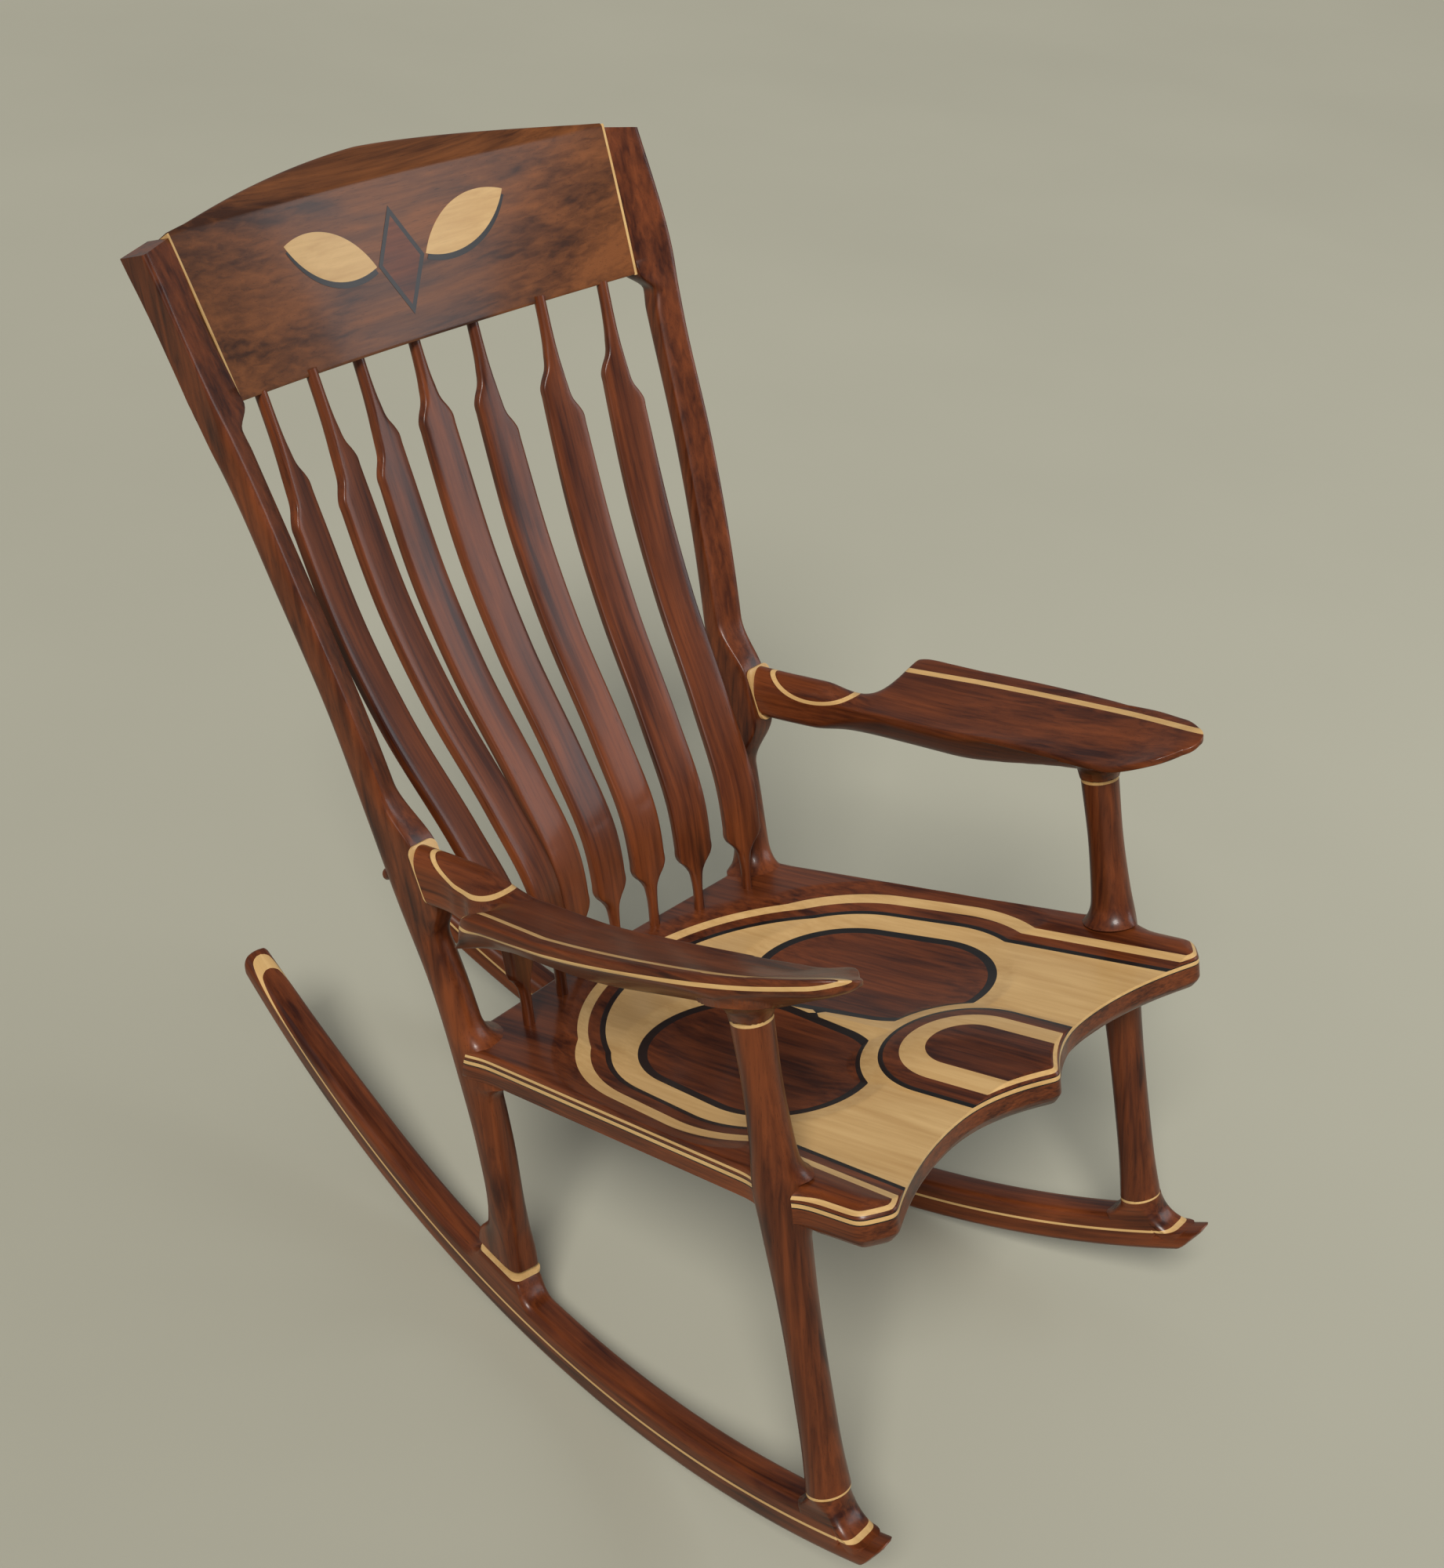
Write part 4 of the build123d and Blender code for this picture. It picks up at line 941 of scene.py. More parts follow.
# ---------------------------------------------------------------- arms
@dataclass(frozen=True)
class Arm:
    """Dished arm with a keel, cut by a tilted maple line, with a capped neck at the post.

    Attributes:
        inner: plan of the inner edge, back and sideways.
        outer: plan of the outer edge.
        reach: furthest place sideways.
        start: back of the blank's rear end, before the glue face is cut.
        tip: back of the tip.
        nose: length over which the tip is rounded in plan.
        nose_place: place sideways at which the tip closes.
        rise: height of the dish's inner edge, its rise for each millimetre forwards and its rise to the
            outer edge.
        dish_inner: place sideways of the dish's inner edge, how far it comes in forwards, and over what
            length.
        dish_outer: place sideways of its outer edge, how far it comes in to the tip, over what length,
            and how late.
        dish_hollow: how hollow the dish is from side to side, 1 for flat.
        tip_rise: rise of the tip's inner side, and the distances ahead between which it sets in.
        neck: height of the neck's crest, its place sideways, its half width and how far it falls there.
        neck_blend: backs between which the paddle turns into the neck.
        keel: height of the keel at the rear, its rise to the leg, how far ahead the leg is, and its rise for
            each millimetre beyond it.
        keel_place: place sideways of the keel.
        sides: rise of the underside from the keel and the width over which it rises, first outwards, then
            inwards with a negative width.
        side_hollow: how late the underside rises to either edge, 1 for even.
        rear_loss: share of that rise lost to the rear, and the backs between which it goes.
        tip_loss: share of it lost to the tip, and the distances ahead between which it goes.
        wall: least thickness of the dish.
        wall_fade: backs between which the rule of the least thickness fades out.
        least: least thickness anywhere.
        edge: steepness of the rounded edges, smaller for a tighter edge.
        plate: back, height and lean of the post's face that the arm's plate is glued to.
        plate_run: thickness of the plate, measured along the arm.
        strip_point: a point on the lower face of the maple line along the edge.
        strip_normal: direction square to that face.
        line: thickness of the maple lines.
        cap_radius: radius of the cap's round underside.
        cap_axis: back and height of its axis.
        leg: sideways, back and height of the ring on the front leg.
        leg_radius: radius of the flat seat for the ring.
        leg_slope: rise of the ring's plane for each millimetre forwards.
        leg_flare: radius of the hollow fillet round the ring.
        leg_blend: softness of the line where the fillet meets the underside.
        board: shift of the arm in its board, and how much closer the figure lies through it.
        bore_ends: places across between which the bar that cuts the cap runs.
        crowding: how much closer the sections lie towards the tip, 1 for even.
        rows: sections along the arm.
        columns: points round each section.
    """

    inner: tuple[tuple[float, float], ...] = (
        (240, 242),
        (180, 246),
        (110, 255),
        (20, 258),
        (-80, 255),
        (-170, 246),
        (-235, 240),
        (-278, 250),
        (-292, 262),
    )
    outer: tuple[tuple[float, float], ...] = (
        (240, 280),
        (180, 283),
        (146, 297),
        (128, 330),
        (98, 354),
        (40, 361),
        (-30, 360),
        (-129, 349),
        (-222, 330),
        (-292, 306),
    )
    reach: float = 360.9
    start: float = 240.0
    tip: float = -304.0
    nose: float = 34.0
    nose_place: float = 284.0
    rise: tuple[float, float, float] = (607.0, 0.065, 30.0)
    dish_inner: tuple[float, float, float] = (257.0, 18.0, 240.0)
    dish_outer: tuple[float, float, float, float] = (362.0, 76.0, 304.0, 2.2)
    dish_hollow: float = 1.6
    tip_rise: tuple[float, float, float] = (22.0, 215.0, 305.0)
    neck: tuple[float, float, float, float] = (622.0, 265.0, 20.0, 14.0)
    neck_blend: tuple[float, float] = (85.0, 150.0)
    keel: tuple[float, float, float, float] = (562.0, 24.0, 190.0, 0.5)
    keel_place: float = 286.0
    sides: tuple[tuple[float, float], ...] = ((57.0, 76.0), (36.0, -32.0))
    side_hollow: float = 1.3
    rear_loss: tuple[float, float, float] = (0.85, 60.0, 160.0)
    tip_loss: tuple[float, float, float] = (0.5, 230.0, 300.0)
    wall: float = 11.0
    wall_fade: tuple[float, float] = (20.0, 80.0)
    least: float = 4.0
    edge: float = 0.42
    plate: tuple[float, float, float] = ARM_PLATE
    plate_run: float = 3.0 / 0.951
    strip_point: tuple[float, float, float] = (286.0, -303.0, 656.0)
    strip_normal: tuple[float, float, float] = (0.2871, 0.0455, 0.9568)
    line: float = 4.2
    cap_radius: float = 96.0
    cap_axis: tuple[float, float] = (157.0, 699.5)
    leg: tuple[float, float, float] = (286.5, -187.6, 583.0)
    leg_radius: float = 20.5
    leg_slope: float = 0.115
    leg_flare: float = 26.0
    leg_blend: float = 2.5
    board: tuple[float, float] = (100.0, 1.3)
    bore_ends: tuple[float, float] = (150.0, 420.0)
    crowding: float = 1.7
    rows: int = 260
    columns: int = 120

    def _top(self, x: Array, back: Array) -> Array:
        """Dished top, highest along its outer edge and at the tip."""
        low, forwards, outwards = self.rise
        crest, crest_x, crest_half, fall = self.neck
        inner_place, inner_change, inner_run = self.dish_inner
        outer_place, outer_change, outer_run, late = self.dish_outer
        tip_lift, *tip_window = self.tip_rise
        inner = inner_place - inner_change * ease(-back, 0.0, inner_run)
        outer = outer_place - outer_change * np.clip(-back / outer_run, 0.0, None) ** late
        share = np.clip((x - inner) / (outer - inner), 0.0, 1.2)
        tip = tip_lift * ease(-back, *tip_window) * (1.0 - share)
        paddle = low + forwards * np.clip(-back, 0.0, None) + outwards * share**self.dish_hollow + tip
        neck = crest - fall * ((x - crest_x) / crest_half) ** 2
        return paddle + (neck - paddle) * ease(back, *self.neck_blend)

    def _bottom(self, x: Array, back: Array) -> Array:
        """Keeled underside, lowest over the front leg, with a flared seat for the leg's ring."""
        low, climb, ahead, forwards = self.keel
        keel = low + climb * ease(-back, 0.0, ahead) + forwards * np.clip(-back - ahead, 0.0, None)
        side = sum(
            rise * np.clip((x - self.keel_place) / width, 0.0, None) ** self.side_hollow
            for rise, width in self.sides
        )
        rear_share, *rear_window = self.rear_loss
        tip_share, *tip_window = self.tip_loss
        side = side * (1.0 - rear_share * ease(back, *rear_window))
        under = keel + side * (1.0 - tip_share * ease(-back, *tip_window))
        spare = np.clip(under - (self._top(x, back) - self.wall), 0.0, None)
        under = under - spare * (1.0 - ease(back, *self.wall_fade))
        flare = self.leg_flare
        away = np.clip(np.hypot(x - self.leg[0], back - self.leg[1]) - self.leg_radius, 0.0, flare)
        ring = self.leg[2] - self.leg_slope * (back - self.leg[1])
        seat = ring + np.sqrt(flare**2 - (flare - away) ** 2)
        blend = self.leg_blend
        soft = -blend * np.logaddexp(-under / blend, -seat / blend)
        return np.where(away < flare, np.maximum(soft, ring), under)

    def skin(self) -> Skin:
        """Closed sections along the arm between its two plan edges.

        The sideways place runs much like a cosine between the edges and the height between underside and
        top. Both meet in a rounded edge, because the thickness falls off like a steep ellipse near it.
        """
        share = np.linspace(0.0, 1.0, self.rows)
        back = self.start + (self.tip - self.start) * (1.0 - (1.0 - share) ** self.crowding)
        inner = smooth_track(-back, *self._edge(self.inner))
        outer = np.minimum(smooth_track(-back, *self._edge(self.outer)), self.reach)
        nose = np.sqrt(np.clip(1.0 - (1.0 - np.clip((back - self.tip) / self.nose, 0.0, 1.0)) ** 2, 0.0, 1.0))
        middle = (inner + outer) / 2.0
        middle = middle + (self.nose_place - middle) * (1.0 - nose)
        half = (outer - inner) / 2.0 * np.maximum(nose, 0.02)
        angle = np.linspace(0.0, 2 * np.pi, self.columns, endpoint=False)
        u, v = rounded_square(angle, 2.0)
        x = middle[:, None] + half[:, None] * np.sign(u) * (1.0 - (1.0 - np.abs(u)) ** 1.15)
        length = np.repeat(back[:, None], self.columns, axis=1)
        bottom = self._bottom(x, length)
        top = np.maximum(self._top(x, length), bottom + self.least)
        body = np.sign(v) * np.abs(v) ** self.edge
        z = (top + bottom) / 2.0 + (top - bottom) / 2.0 * body * np.maximum(nose, 0.05)[:, None] ** 0.5
        plate_back, plate_height, lean = self.plate
        length = np.minimum(length, plate_back + (z - plate_height) * lean - self.plate_run)
        grain = np.stack([length, x + self.board[0], z * self.board[1]], -1)
        return Skin(np.stack([x, length, z], -1), grain)

    @staticmethod
    def _edge(points: tuple[tuple[float, float], ...]) -> tuple[Array, Array]:
        """Edge points as distance forwards and sideways place."""
        table = np.array(points, float)
        return -table[:, 0], table[:, 1]

    def _bore(self, radius: float) -> bpy.types.Object:
        """Round bar across the arm, used to cut the cap."""
        angle = np.linspace(0.0, 2 * np.pi, 160, endpoint=False)
        ends = np.array(self.bore_ends)[:, None]
        back = self.cap_axis[0] + radius * np.cos(angle)
        height = self.cap_axis[1] + radius * np.sin(angle)
        points = np.stack(np.broadcast_arrays(ends, back, height), -1)
        bar = bpy.data.objects.new("bore", mesh_from("bore", Skin(points, points)))
        bpy.context.scene.collection.objects.link(bar)
        return bar

    @staticmethod
    def _carve(mesh: bpy.types.Mesh, bar: bpy.types.Object, operation: str) -> bpy.types.Mesh:
        """A mesh with a bar cut out of it (DIFFERENCE) or only the part inside the bar (INTERSECT)."""
        body = bpy.data.objects.new("blank", mesh)
        bpy.context.scene.collection.objects.link(body)
        cut = body.modifiers.new("cut", "BOOLEAN")
        cut.operation = operation
        cut.object = bar
        cut.solver = "EXACT"
        bpy.context.view_layer.update()
        result = bpy.data.meshes.new_from_object(body.evaluated_get(bpy.context.evaluated_depsgraph_get()))
        bpy.data.objects.remove(body)
        return result

    def build(self) -> None:
        """Carves one arm, cuts it along its glue faces and stands both arms in place."""
        blank = mesh_from("arm", self.skin())
        wide, narrow = self._bore(self.cap_radius + self.line), self._bore(self.cap_radius)
        paddle = self._carve(blank, wide, "DIFFERENCE")
        cap = self._carve(blank, wide, "INTERSECT")
        cut = (self.strip_point, self.strip_normal)
        stand_pair("arm_body", slab_of(paddle, *cut, None, 0.0), WALNUT)
        stand_pair("arm_edge_line", slab_of(paddle, *cut, 0.0, self.line), MAPLE)
        stand_pair("arm_edge_strip", slab_of(paddle, *cut, self.line, None), WALNUT)
        stand_pair("arm_cap_line", self._carve(cap, narrow, "DIFFERENCE"), MAPLE)
        stand_pair("arm_cap", self._carve(cap, narrow, "INTERSECT"), WALNUT)
        for bar in (wide, narrow):
            bpy.data.objects.remove(bar)


# ---------------------------------------------------------------- crest
@dataclass(frozen=True)
class Crest:
    """Curved crest rail with a lens-shaped bevel on top; its face lies a hair behind the inlay.

    Attributes:
        joint: place across of the joint with the post, its height and its lean.
        half_length: half of the crest's length, used for spreading the points over the section.
        end: place across at which the changes to the ends are given.
        foot: back and height of the lower front edge in the middle, and how much they change to the ends.
        brow: back and height of the upper front edge likewise.
        ridge: height of the ridge and its change to the ends.
        swell: depth of the bevel at the ends, how much more it is in the middle, and the lens's half length.
        thickness: thickness at the lower edge.
        rear_slope: how far the rear face leans back for each millimetre up.
        rear_drop: how far the rear face's upper edge lies below the ridge.
        rows: sections along the crest.
        columns: points round each section.
    """

    joint: tuple[float, float, float] = (276.0, 1045.0, 0.1118)
    half_length: float = 285.0
    end: float = 293.0
    foot: tuple[tuple[float, float], tuple[float, float]] = ((441.3, 1032.0), (-56.0, 14.0))
    brow: tuple[tuple[float, float], tuple[float, float]] = ((475.3, 1195.0), (-36.0, 2.0))
    ridge: tuple[float, float] = (1222.0, -22.0)
    swell: tuple[float, float, float] = (3.0, 30.0, 268.0)
    thickness: float = 27.0
    rear_slope: float = 0.31
    rear_drop: float = 10.0
    rows: int = 220
    columns: int = 240

    def _corners(self, x: Array) -> Array:
        """Five corners of the section at a place, as back and height, from the lower front edge round."""
        share = (x / self.end) ** 2
        foot, brow = (
            np.array(middle) + np.array(change) * share[..., None]
            for middle, change in (self.foot, self.brow)
        )
        narrow, more, lens = self.swell
        bevel = narrow + more * np.clip(1.0 - (x / lens) ** 2, 0.0, None) ** 1.2
        top = self.ridge[0] + self.ridge[1] * share**0.65
        ridge = np.stack([brow[..., 0] + bevel, top], -1)
        rear_foot = foot + np.array([self.thickness, 0.0])
        rear_back = rear_foot[..., 0] + self.rear_slope * (top - foot[..., 1])
        rear_top = np.stack([rear_back, top - self.rear_drop], -1)
        return np.stack([foot, brow, ridge, rear_top, rear_foot], -2)

    def skin(self) -> Skin:
        """Sections from end to end, their corners softened by averaging along the outline.

        The sideways place is scaled by height, so that both ends lie on the leaning joints with the posts.
        """
        nominal = np.linspace(-1.0, 1.0, self.rows)[:, None]
        first = self._corners(nominal[:, 0] * self.half_length)
        closed = np.concatenate([first, first[:, :1]], axis=1)
        edges = np.linalg.norm(np.diff(closed, axis=1), axis=2).mean(0)
        marks = np.concatenate([[0.0], np.cumsum(edges) / edges.sum()])
        step = np.linspace(0.0, 1.0, self.columns, endpoint=False)
        corner = np.searchsorted(marks, step, side="right") - 1
        share = ((step - marks[corner]) / (marks[corner + 1] - marks[corner]))[None, :, None]
        outline = closed[:, corner] * (1.0 - share) + closed[:, corner + 1] * share
        across = nominal * (self.joint[0] + (outline[..., 1] - self.joint[1]) * self.joint[2])
        exact = self._corners(across)
        exact = np.concatenate([exact, exact[..., :1, :]], axis=-2)
        index = np.arange(self.columns)
        outline = exact[:, index, corner] * (1.0 - share) + exact[:, index, corner + 1] * share
        for _ in range(2):
            outline = (np.roll(outline, 1, axis=1) + 2 * outline + np.roll(outline, -1, axis=1)) / 4.0
        across = nominal * (self.joint[0] + (outline[..., 1] - self.joint[1]) * self.joint[2])
        grain = np.stack([across, outline[..., 1], outline[..., 0] * 1.4], -1)
        return Skin(np.stack([across, outline[..., 0], outline[..., 1]], -1), grain)

    def build(self) -> None:
        """Makes the crest rail."""
        stand("crest_look", mesh_from("crest", self.skin()), GOLDEN, ("crest",))


# ---------------------------------------------------------------- seat
@dataclass(frozen=True)
class Seat:
    """Glued-up seat with a scalloped front, dished through its layers.

    Levels are heights above the middle of the lower string, measured square to the layers.

    Attributes:
        front_height: height of level 0 at the front edge.
        front: back of the front edge.
        slope: fall for each millimetre backwards.
        corners: left half of the plan, sideways and back, from the middle of the rear edge to the front
            corner.
        scallop: deepest point of the scalloped front.
        swells: how far the plan swells out at the leg and at the post, where, and over what length.
        swell_side: place sideways beyond which it swells.
        rim: level of the uncarved top.
        base: level of the base.
        levels: levels of the glue faces from the top down.
        layers: nodes of the layers from the top down.
        woods: their woods.
        dish_back: back of the middle of the arch that bounds the dish.
        dish_spread: degrees by which each side of the dish opens towards the front.
        wall: radius and level of the dish's wall.
        hollow: ends, radius and depth of the two deeper hollows.
        pommel: ends, radius and height of the rise between the thighs.
        roll: width and height of the top's rounded edge.
        front_roll: how much wider and higher it is along the scalloped front.
        front_window: distances ahead between which the edge changes to that.
        bevel: width of the base's bevel, how much narrower it is at front and rear, and the distances from
            the middle between which it narrows.
        bevel_rise: height of the bevel at the edge, and how hollow it is, 1 for flat.
        least: least thickness of the seat.
        centre: place that the rings of the top shrink to.
        crowding: how much closer the rings lie towards the edge, 1 for even.
        columns: points round the outline.
        rows: rings of the top.
    """

    front_height: float = 416.0
    front: float = -321.0
    slope: float = 0.075
    corners: tuple[tuple[float, float], ...] = (
        (0, 256),
        (185, 248),
        (244, 248),
        (250, 190),
        (293, -238),
        (293, -300),
        (265, -321),
    )
    scallop: tuple[float, float] = (105.0, -279.0)
    swells: tuple[tuple[float, float, float], ...] = ((15.0, -208.0, 21.0), (5.0, 232.0, 22.0))
    swell_side: float = 235.0
    rim: float = 14.0
    base: float = -32.0
    levels: tuple[float, ...] = (8.6, 5.4, 2.6, 1.6, -2.4, -3.6)
    layers: tuple[str, ...] = (
        "seat_top_walnut",
        "seat_string_maple",
        "seat_middle_walnut",
        "seat_upper_ebony",
        "seat_field_maple",
        "seat_lower_ebony",
        "seat_base_walnut",
    )
    woods: tuple[Wood, ...] = (WALNUT, MAPLE, WALNUT, EBONY, MAPLE, EBONY, WALNUT)
    dish_back: float = -12.0
    dish_spread: float = 4.8
    wall: tuple[tuple[float, float], ...] = (
        (186, 0.5),
        (200, 1.3),
        (216, 4.4),
        (233, 9.4),
        (246, 13.0),
        (256, 14.5),
    )
    hollow: Ball = ((92, 10), (104, -70), 700.0, 9.0)
    pommel: Ball = ((0, -215), (0, -290), 430.0, 10.0)
    roll: tuple[float, float] = (6.0, 5.5)
    front_roll: tuple[float, float] = (20.0, 9.0)
    front_window: tuple[float, float] = (205.0, 262.0)
    bevel: tuple[float, float, float, float] = (30.0, 18.0, 215.0, 250.0)
    bevel_rise: tuple[float, float] = (13.0, 1.6)
    least: float = 20.0
    centre: tuple[float, float] = (0.0, -30.0)
    crowding: float = 1.55
    columns: int = 640
    rows: int = 118

    def _outline(self) -> Array:
        """Plan of the seat as an evenly spaced closed line, its corners softened by averaging."""
        corner = self.corners[-1][0]
        deepest, bottom = self.scallop
        x = np.linspace(corner - 3.0, 0.0, 70)
        spread = np.where(x < deepest, deepest, corner - deepest)
        scallop = np.stack([x, bottom + (self.front - bottom) * ((x - deepest) / spread) ** 2], -1)
        half = np.concatenate([np.array(self.corners, float), scallop])
        loop = np.concatenate([half, (half * [-1, 1])[::-1][1:]])
        marks = np.concatenate([[0.0], np.cumsum(np.linalg.norm(np.diff(loop, axis=0), axis=1))])
        at = np.linspace(0.0, marks[-1], self.columns, endpoint=False)
        line = np.stack([np.interp(at, marks, loop[:, axis]) for axis in (0, 1)], -1)
        for _ in range(6):
            line = (np.roll(line, 1, axis=0) + 2 * line + np.roll(line, -1, axis=0)) / 4.0
        side = np.sign(line[:, 0]) * (np.abs(line[:, 0]) > self.swell_side)
        for swell, middle, length in self.swells:
            line[:, 0] += side * swell * np.exp(-(((line[:, 1] - middle) / length) ** 2))
        return line

    def _dish(self, x: Array, back: Array) -> Array:
        """Level of the carved top.

        The wall is one profile round an arch and along its two straight sides. Two long balls hollow the
        floor, and a third, under the floor, raises the pommel.
        """
        spread = np.radians(self.dish_spread)
        ahead = back - self.dish_back
        side = np.abs(x)
        bearing = np.arctan2(ahead, side)
        straight = side * np.cos(spread) + ahead * np.sin(spread)
        radius = np.where(bearing < spread, straight, np.hypot(side, ahead))
        wall = np.array(self.wall)
        floor = wall[0, 1]
        level = smooth_track(radius, wall[:, 0], wall[:, 1])
        level = np.where(radius < wall[0, 0], floor, level)
        level = np.where(radius > wall[-1, 0], self.rim + 0.5, level)
        hollow_ends, hollow_radius, hollow_depth = self.hollow[:2], *self.hollow[2:]
        pommel_ends, pommel_radius, pommel_height = self.pommel[:2], *self.pommel[2:]
        level = np.minimum(level, floor - hollow_depth + self._ball(side, back, hollow_ends, hollow_radius))
        return np.maximum(level, floor + pommel_height - self._ball(side, back, pommel_ends, pommel_radius))

    @staticmethod
    def _ball(x: Array, back: Array, ends: tuple[tuple[float, float], ...], radius: float) -> Array:
        """How far a ball drawn out between two places has curved away from its flat middle."""
        first, along = np.array(ends[0]), np.subtract(ends[1], ends[0])
        ahead = (x - first[0]) * along[0] + (back - first[1]) * along[1]
        share = np.clip(ahead / (along @ along), 0.0, 1.0)
        away = np.hypot(x - first[0] - share * along[0], back - first[1] - share * along[1])
        return radius - np.sqrt(np.clip(radius**2 - away**2, 0.0, None))

    def skin(self) -> Skin:
        """Rings from the middle of the top out to the edge, down the side and back in under the base.

        Each ring is the outline shrunk towards the middle. Near the edge the top is rounded, widely along the
        scalloped front and closely elsewhere, and the base is bevelled, by the distance to the outline.
        """
        outline = self._outline()
        centre = np.array(self.centre)
        inward = np.linspace(1.0, 0.0, self.rows) ** self.crowding
        inward = inward[inward < 0.985]
        top = centre + (outline - centre) * (1.0 - inward[:, None, None])
        gap = np.stack([self._distance(ring, outline) for ring in top])
        x, back = top[..., 0], top[..., 1]
        forward = ease(-back, *self.front_window)
        wide, tall = (size + more * forward for size, more in zip(self.roll, self.front_roll))
        roll = np.clip(1.0 - gap / wide, 0.0, 1.0)
        edge = self.rim - tall * (1.0 - np.sqrt(1.0 - roll**2))
        upper = np.minimum(self._dish(x, back), edge)
        upper = np.maximum(upper, self.base + self.least)
        width, narrower, *bevel_window = self.bevel
        share = np.clip(1.0 - gap / (width - narrower * ease(np.abs(back), *bevel_window)), 0.0, 1.0)
        height, hollow = self.bevel_rise
        lower = self.base + height * share**hollow
        wall = np.linspace(0.0, 1.0, 9)[1:-1, None]
        side_level = upper[-1] + (lower[-1] - upper[-1]) * wall
        side_plan = np.repeat(outline[None], len(wall), axis=0)
        plan = np.concatenate([top, side_plan, top[::-1]])
        level = np.concatenate([upper, side_level, lower[::-1]])
        points = np.concatenate([plan, level[..., None]], -1)
        grain = np.stack([plan[..., 1], plan[..., 0], level * 3.0], -1)
        return Skin(points, grain)

    @staticmethod
    def _distance(points: Array, outline: Array) -> Array:
        """Distance of each point to the nearest point of a closed line."""
        return np.sqrt(((points[:, None, :] - outline[None, :, :]) ** 2).sum(-1).min(1))

    def _lay(self, mesh: bpy.types.Mesh) -> None:
        """Turns a mesh from plan and level to the upright layout."""
        turn = np.arctan(self.slope)
        points = np.empty(len(mesh.vertices) * 3)
        mesh.vertices.foreach_get("co", points)
        x, along, level = points.reshape(-1, 3).T
        middle = self.front_height + self.slope * self.front
        back = along * np.cos(turn) + level * np.sin(turn)
        height = middle - along * np.sin(turn) + level * np.cos(turn)
        mesh.vertices.foreach_set("co", np.stack([x, back, height], -1).ravel())
        mesh.update()

    def build(self) -> None:
        """Carves the seat and cuts it into its glued layers."""
        blank = mesh_from("seat", self.skin())
        bounds = (None, *self.levels, None)
        for name, wood, high, low in zip(self.layers, self.woods, bounds, bounds[1:]):
            layer = slab_of(blank, (0, 0, 0), (0, 0, 1), low, high)
            self._lay(layer)
            stand(f"{name}_look", layer, wood, (name,))


# ---------------------------------------------------------------- the rest of the frame
def brushed_steel() -> bpy.types.Material:
    """Plain steel with fine uneven brushing."""
    material = bpy.data.materials.new("steel")
    material.use_nodes = True
    nodes, links = material.node_tree.nodes, material.node_tree.links
    texture, noise, spread = (
        nodes.new("ShaderNodeTexCoord"),
        nodes.new("ShaderNodeTexNoise"),
        nodes.new("ShaderNodeMapRange"),
    )
    noise.inputs["Scale"].default_value = 900.0
    spread.inputs["To Min"].default_value = 0.25
    spread.inputs["To Max"].default_value = 0.50
    shader = nodes["Principled BSDF"]
    shader.inputs["Base Color"].default_value = (0.56, 0.56, 0.57, 1.0)
    shader.inputs["Metallic"].default_value = 1.0
    links.new(texture.outputs["Object"], noise.inputs["Vector"])
    links.new(noise.outputs["Fac"], spread.inputs["Value"])
    links.new(spread.outputs["Result"], shader.inputs["Roughness"])
    return material


def dress_frame(nodes: dict[str, bpy.types.Object], shown: set[str]) -> None:
    """Gives every CAD node that stays in sight its finish."""
    maple = MAPLE.material(Source.UPRIGHT)
    for name, node in nodes.items():
        if name not in shown:
            continue
        wood = maple
        if "shadow" in name or "border" in name:
            wood = EBONY.material(Source.CROSSWISE)
        elif name in ("inlay_lozenge", "arm_plugs"):
            wood = WALNUT.material(Source.CROSSWISE)
        elif name == "arm_screws":
            wood = brushed_steel()
        elif name == "inlay_leaves":
            wood = MAPLE.material(Source.CROSSWISE)
        node.data.materials.clear()
        node.data.materials.append(wood)


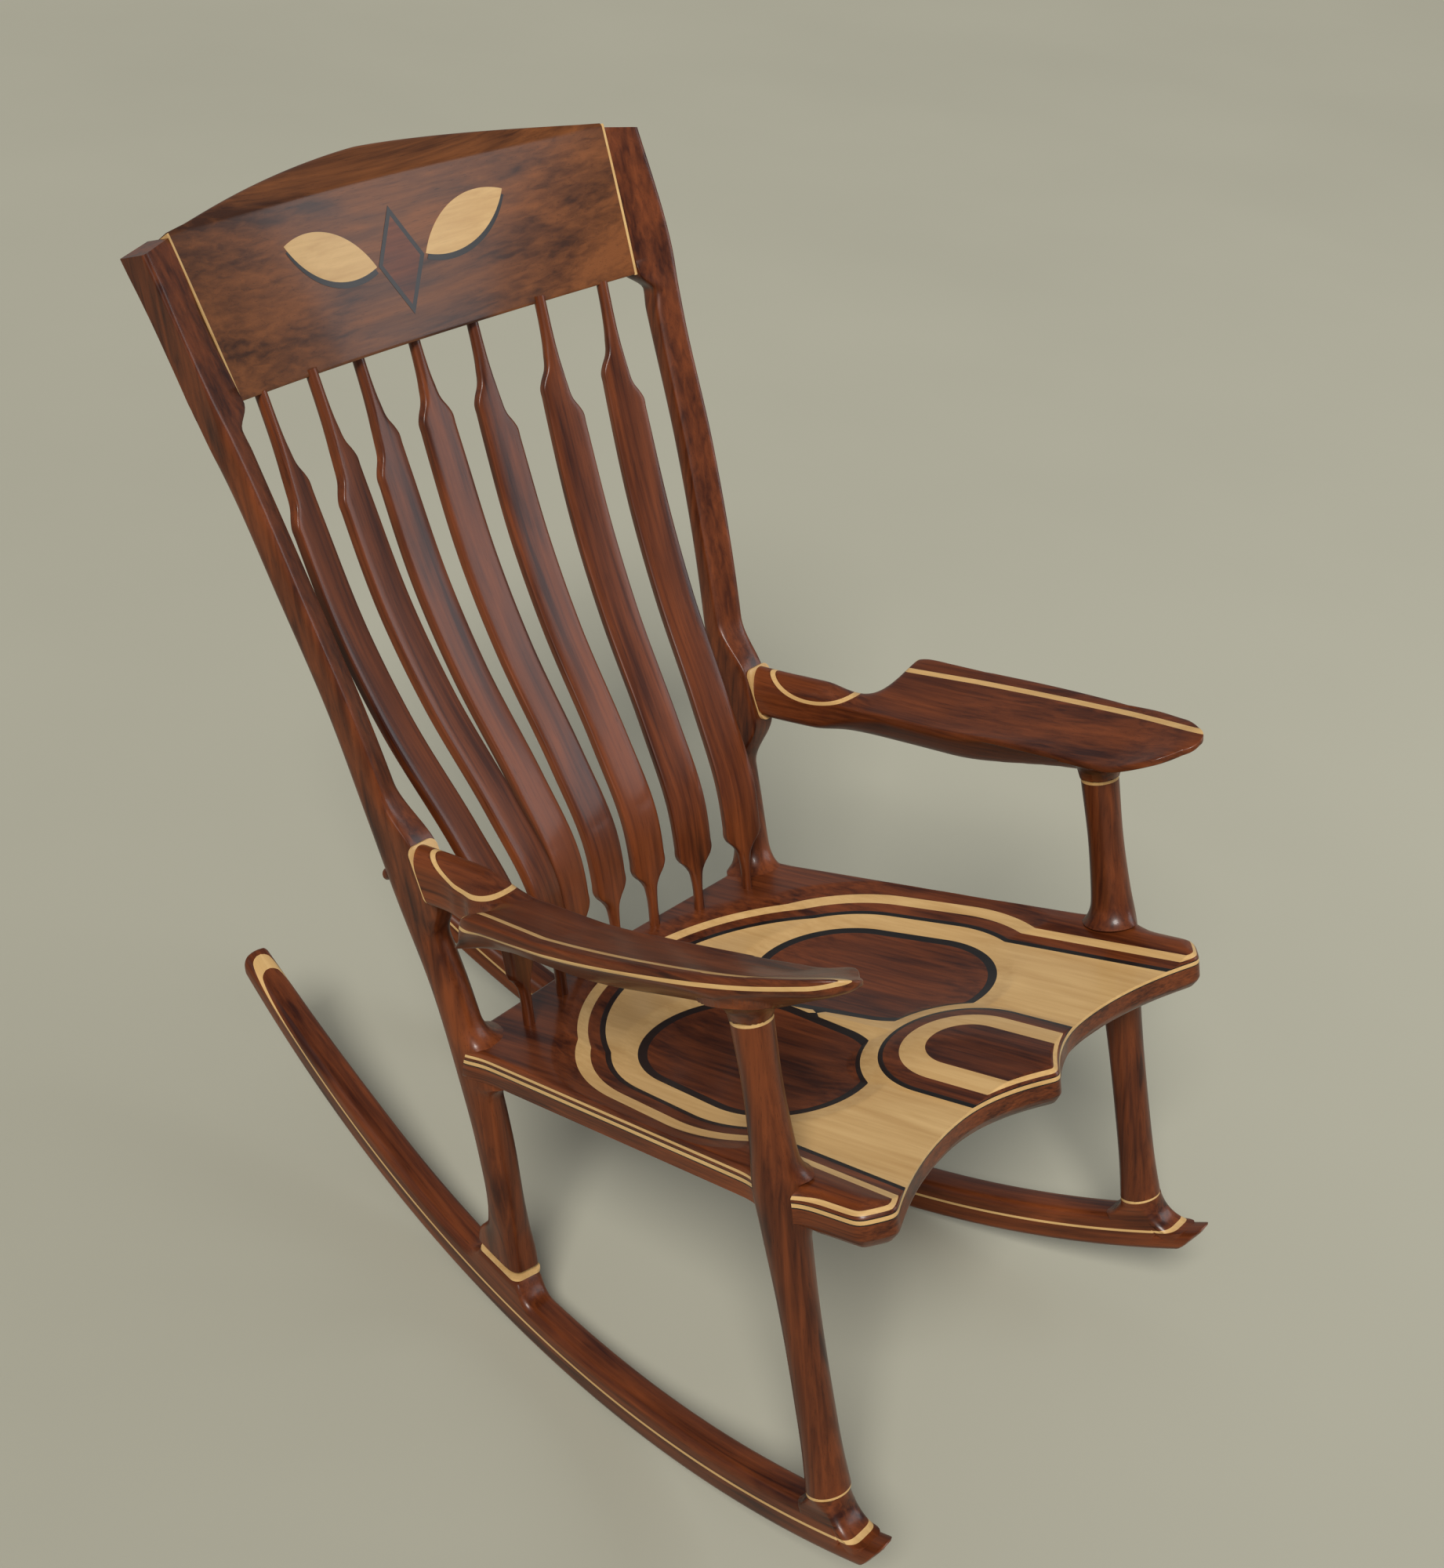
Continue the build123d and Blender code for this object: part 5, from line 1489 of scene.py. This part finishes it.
# ---------------------------------------------------------------- studio
@dataclass(frozen=True)
class Studio:
    """Plain floor, soft lamps and the camera.

    Attributes:
        eye: place of the camera in the upright layout.
        gaze: direction in which it looks, likewise.
        up: its upward direction, likewise.
        focal_length: focal length in millimetres.
        sensor: width of the sensor in millimetres.
        lit: place that the lamps face, in metres at rest.
        floor_half: half the side of the floor in metres.
        floor_colour: colour of the floor.
    """

    eye: tuple[float, float, float] = (-1614.8, -1322.4, 1615.5)
    gaze: tuple[float, float, float] = (0.68540, 0.59369, -0.42161)
    up: tuple[float, float, float] = (0.36116, 0.22559, 0.90480)
    focal_length: float = 54.0
    sensor: float = 36.0
    lit: tuple[float, float, float] = (0.1, 0.2, 0.4)
    floor_half: float = 14.0
    floor_colour: tuple[float, float, float] = (0.42, 0.41, 0.33)

    def _floor(self) -> None:
        """Large pale floor with a faint mottling."""
        mesh = bpy.data.meshes.new("floor")
        side = self.floor_half
        corners = [(-side, -side, 0), (side, -side, 0), (side, side, 0), (-side, side, 0)]
        mesh.from_pydata(corners, [], [(0, 1, 2, 3)])
        material = bpy.data.materials.new("floor")
        material.use_nodes = True
        nodes, links = material.node_tree.nodes, material.node_tree.links
        texture, noise, ramp = (
            nodes.new("ShaderNodeTexCoord"),
            nodes.new("ShaderNodeTexNoise"),
            nodes.new("ShaderNodeValToRGB"),
        )
        noise.inputs["Scale"].default_value = 0.9
        noise.inputs["Detail"].default_value = 4.0
        ramp.color_ramp.elements[0].color = (*[0.93 * c for c in self.floor_colour], 1.0)
        ramp.color_ramp.elements[1].color = (*[1.05 * c for c in self.floor_colour], 1.0)
        links.new(texture.outputs["Object"], noise.inputs["Vector"])
        links.new(noise.outputs["Fac"], ramp.inputs["Fac"])
        links.new(ramp.outputs["Color"], nodes["Principled BSDF"].inputs["Base Color"])
        nodes["Principled BSDF"].inputs["Roughness"].default_value = 0.95
        nodes["Principled BSDF"].inputs["Specular IOR Level"].default_value = 0.1
        mesh.materials.append(material)
        floor = bpy.data.objects.new("floor", mesh)
        bpy.context.scene.collection.objects.link(floor)

    def _lamp(self, name: str, kind: str, spot: tuple, size: float, power: float, colour: tuple) -> None:
        """Soft lamp, a SUN as wide as an angle or a square AREA, that faces the middle of the chair."""
        data = bpy.data.lights.new(name, kind)
        if kind == "SUN":
            data.angle = size
        else:
            data.size = size
        data.energy = power
        data.color = colour
        lamp = bpy.data.objects.new(name, data)
        lamp.location = spot
        lamp.rotation_mode = "QUATERNION"
        lamp.rotation_quaternion = (Vector(self.lit) - Vector(spot)).to_track_quat("-Z", "Y")
        bpy.context.scene.collection.objects.link(lamp)

    def _world(self) -> None:
        """Even pale surroundings."""
        world = bpy.data.worlds.new("studio")
        world.use_nodes = True
        world.node_tree.nodes["Background"].inputs["Color"].default_value = (0.82, 0.84, 0.86, 1.0)
        world.node_tree.nodes["Background"].inputs["Strength"].default_value = 0.30
        bpy.context.scene.world = world

    def _camera(self) -> None:
        """Camera given in the upright layout and turned with the chair to the rest pose."""
        data = bpy.data.cameras.new("camera")
        data.lens = self.focal_length
        data.sensor_width = self.sensor
        eye = Vector(place(*self.eye))
        ahead = Vector(place(*(np.array(self.eye) + 1000.0 * np.array(self.gaze)))) - eye
        above = Vector(place(*(np.array(self.eye) + 1000.0 * np.array(self.up)))) - eye
        ahead.normalize()
        right = ahead.cross(above).normalized()
        above = right.cross(ahead)
        turn = Matrix((right, above, -ahead)).transposed()
        camera = bpy.data.objects.new("camera", data)
        camera.matrix_world = Matrix.Translation(eye) @ turn.to_4x4()
        bpy.context.scene.collection.objects.link(camera)
        bpy.context.scene.camera = camera

    def build(self) -> None:
        """Sets the whole stage."""
        self._floor()
        self._world()
        self._lamp("key", "SUN", (-4.4, -2.2, 5.6), 0.33, 2.9, (1.0, 0.97, 0.92))
        self._lamp("fill", "AREA", (3.4, -3.2, 2.6), 2.4, 60.0, (0.93, 0.96, 1.0))
        self._camera()
        bpy.context.scene.view_settings.view_transform = "Standard"


def main() -> None:
    """Builds the chair's looks piece by piece, then the studio."""
    logging.basicConfig(level=logging.INFO, format="%(message)s")
    for item in [item for item in bpy.data.objects if item.name in ("Cube", "Light", "Camera")]:
        bpy.data.objects.remove(item)
    before = set(bpy.data.objects)
    for part in (Rocker(), FrontLeg(), BackPost(), Slat(), Arm(), Crest(), Seat()):
        log.info("building %s", type(part).__name__)
        part.build()
    made = {item.name.removesuffix("_look") for item in set(bpy.data.objects) - before}
    dress_frame(frame["nodes"], set(frame["nodes"]) - made)
    Studio().build()


if __name__ == "__main__":
    main()
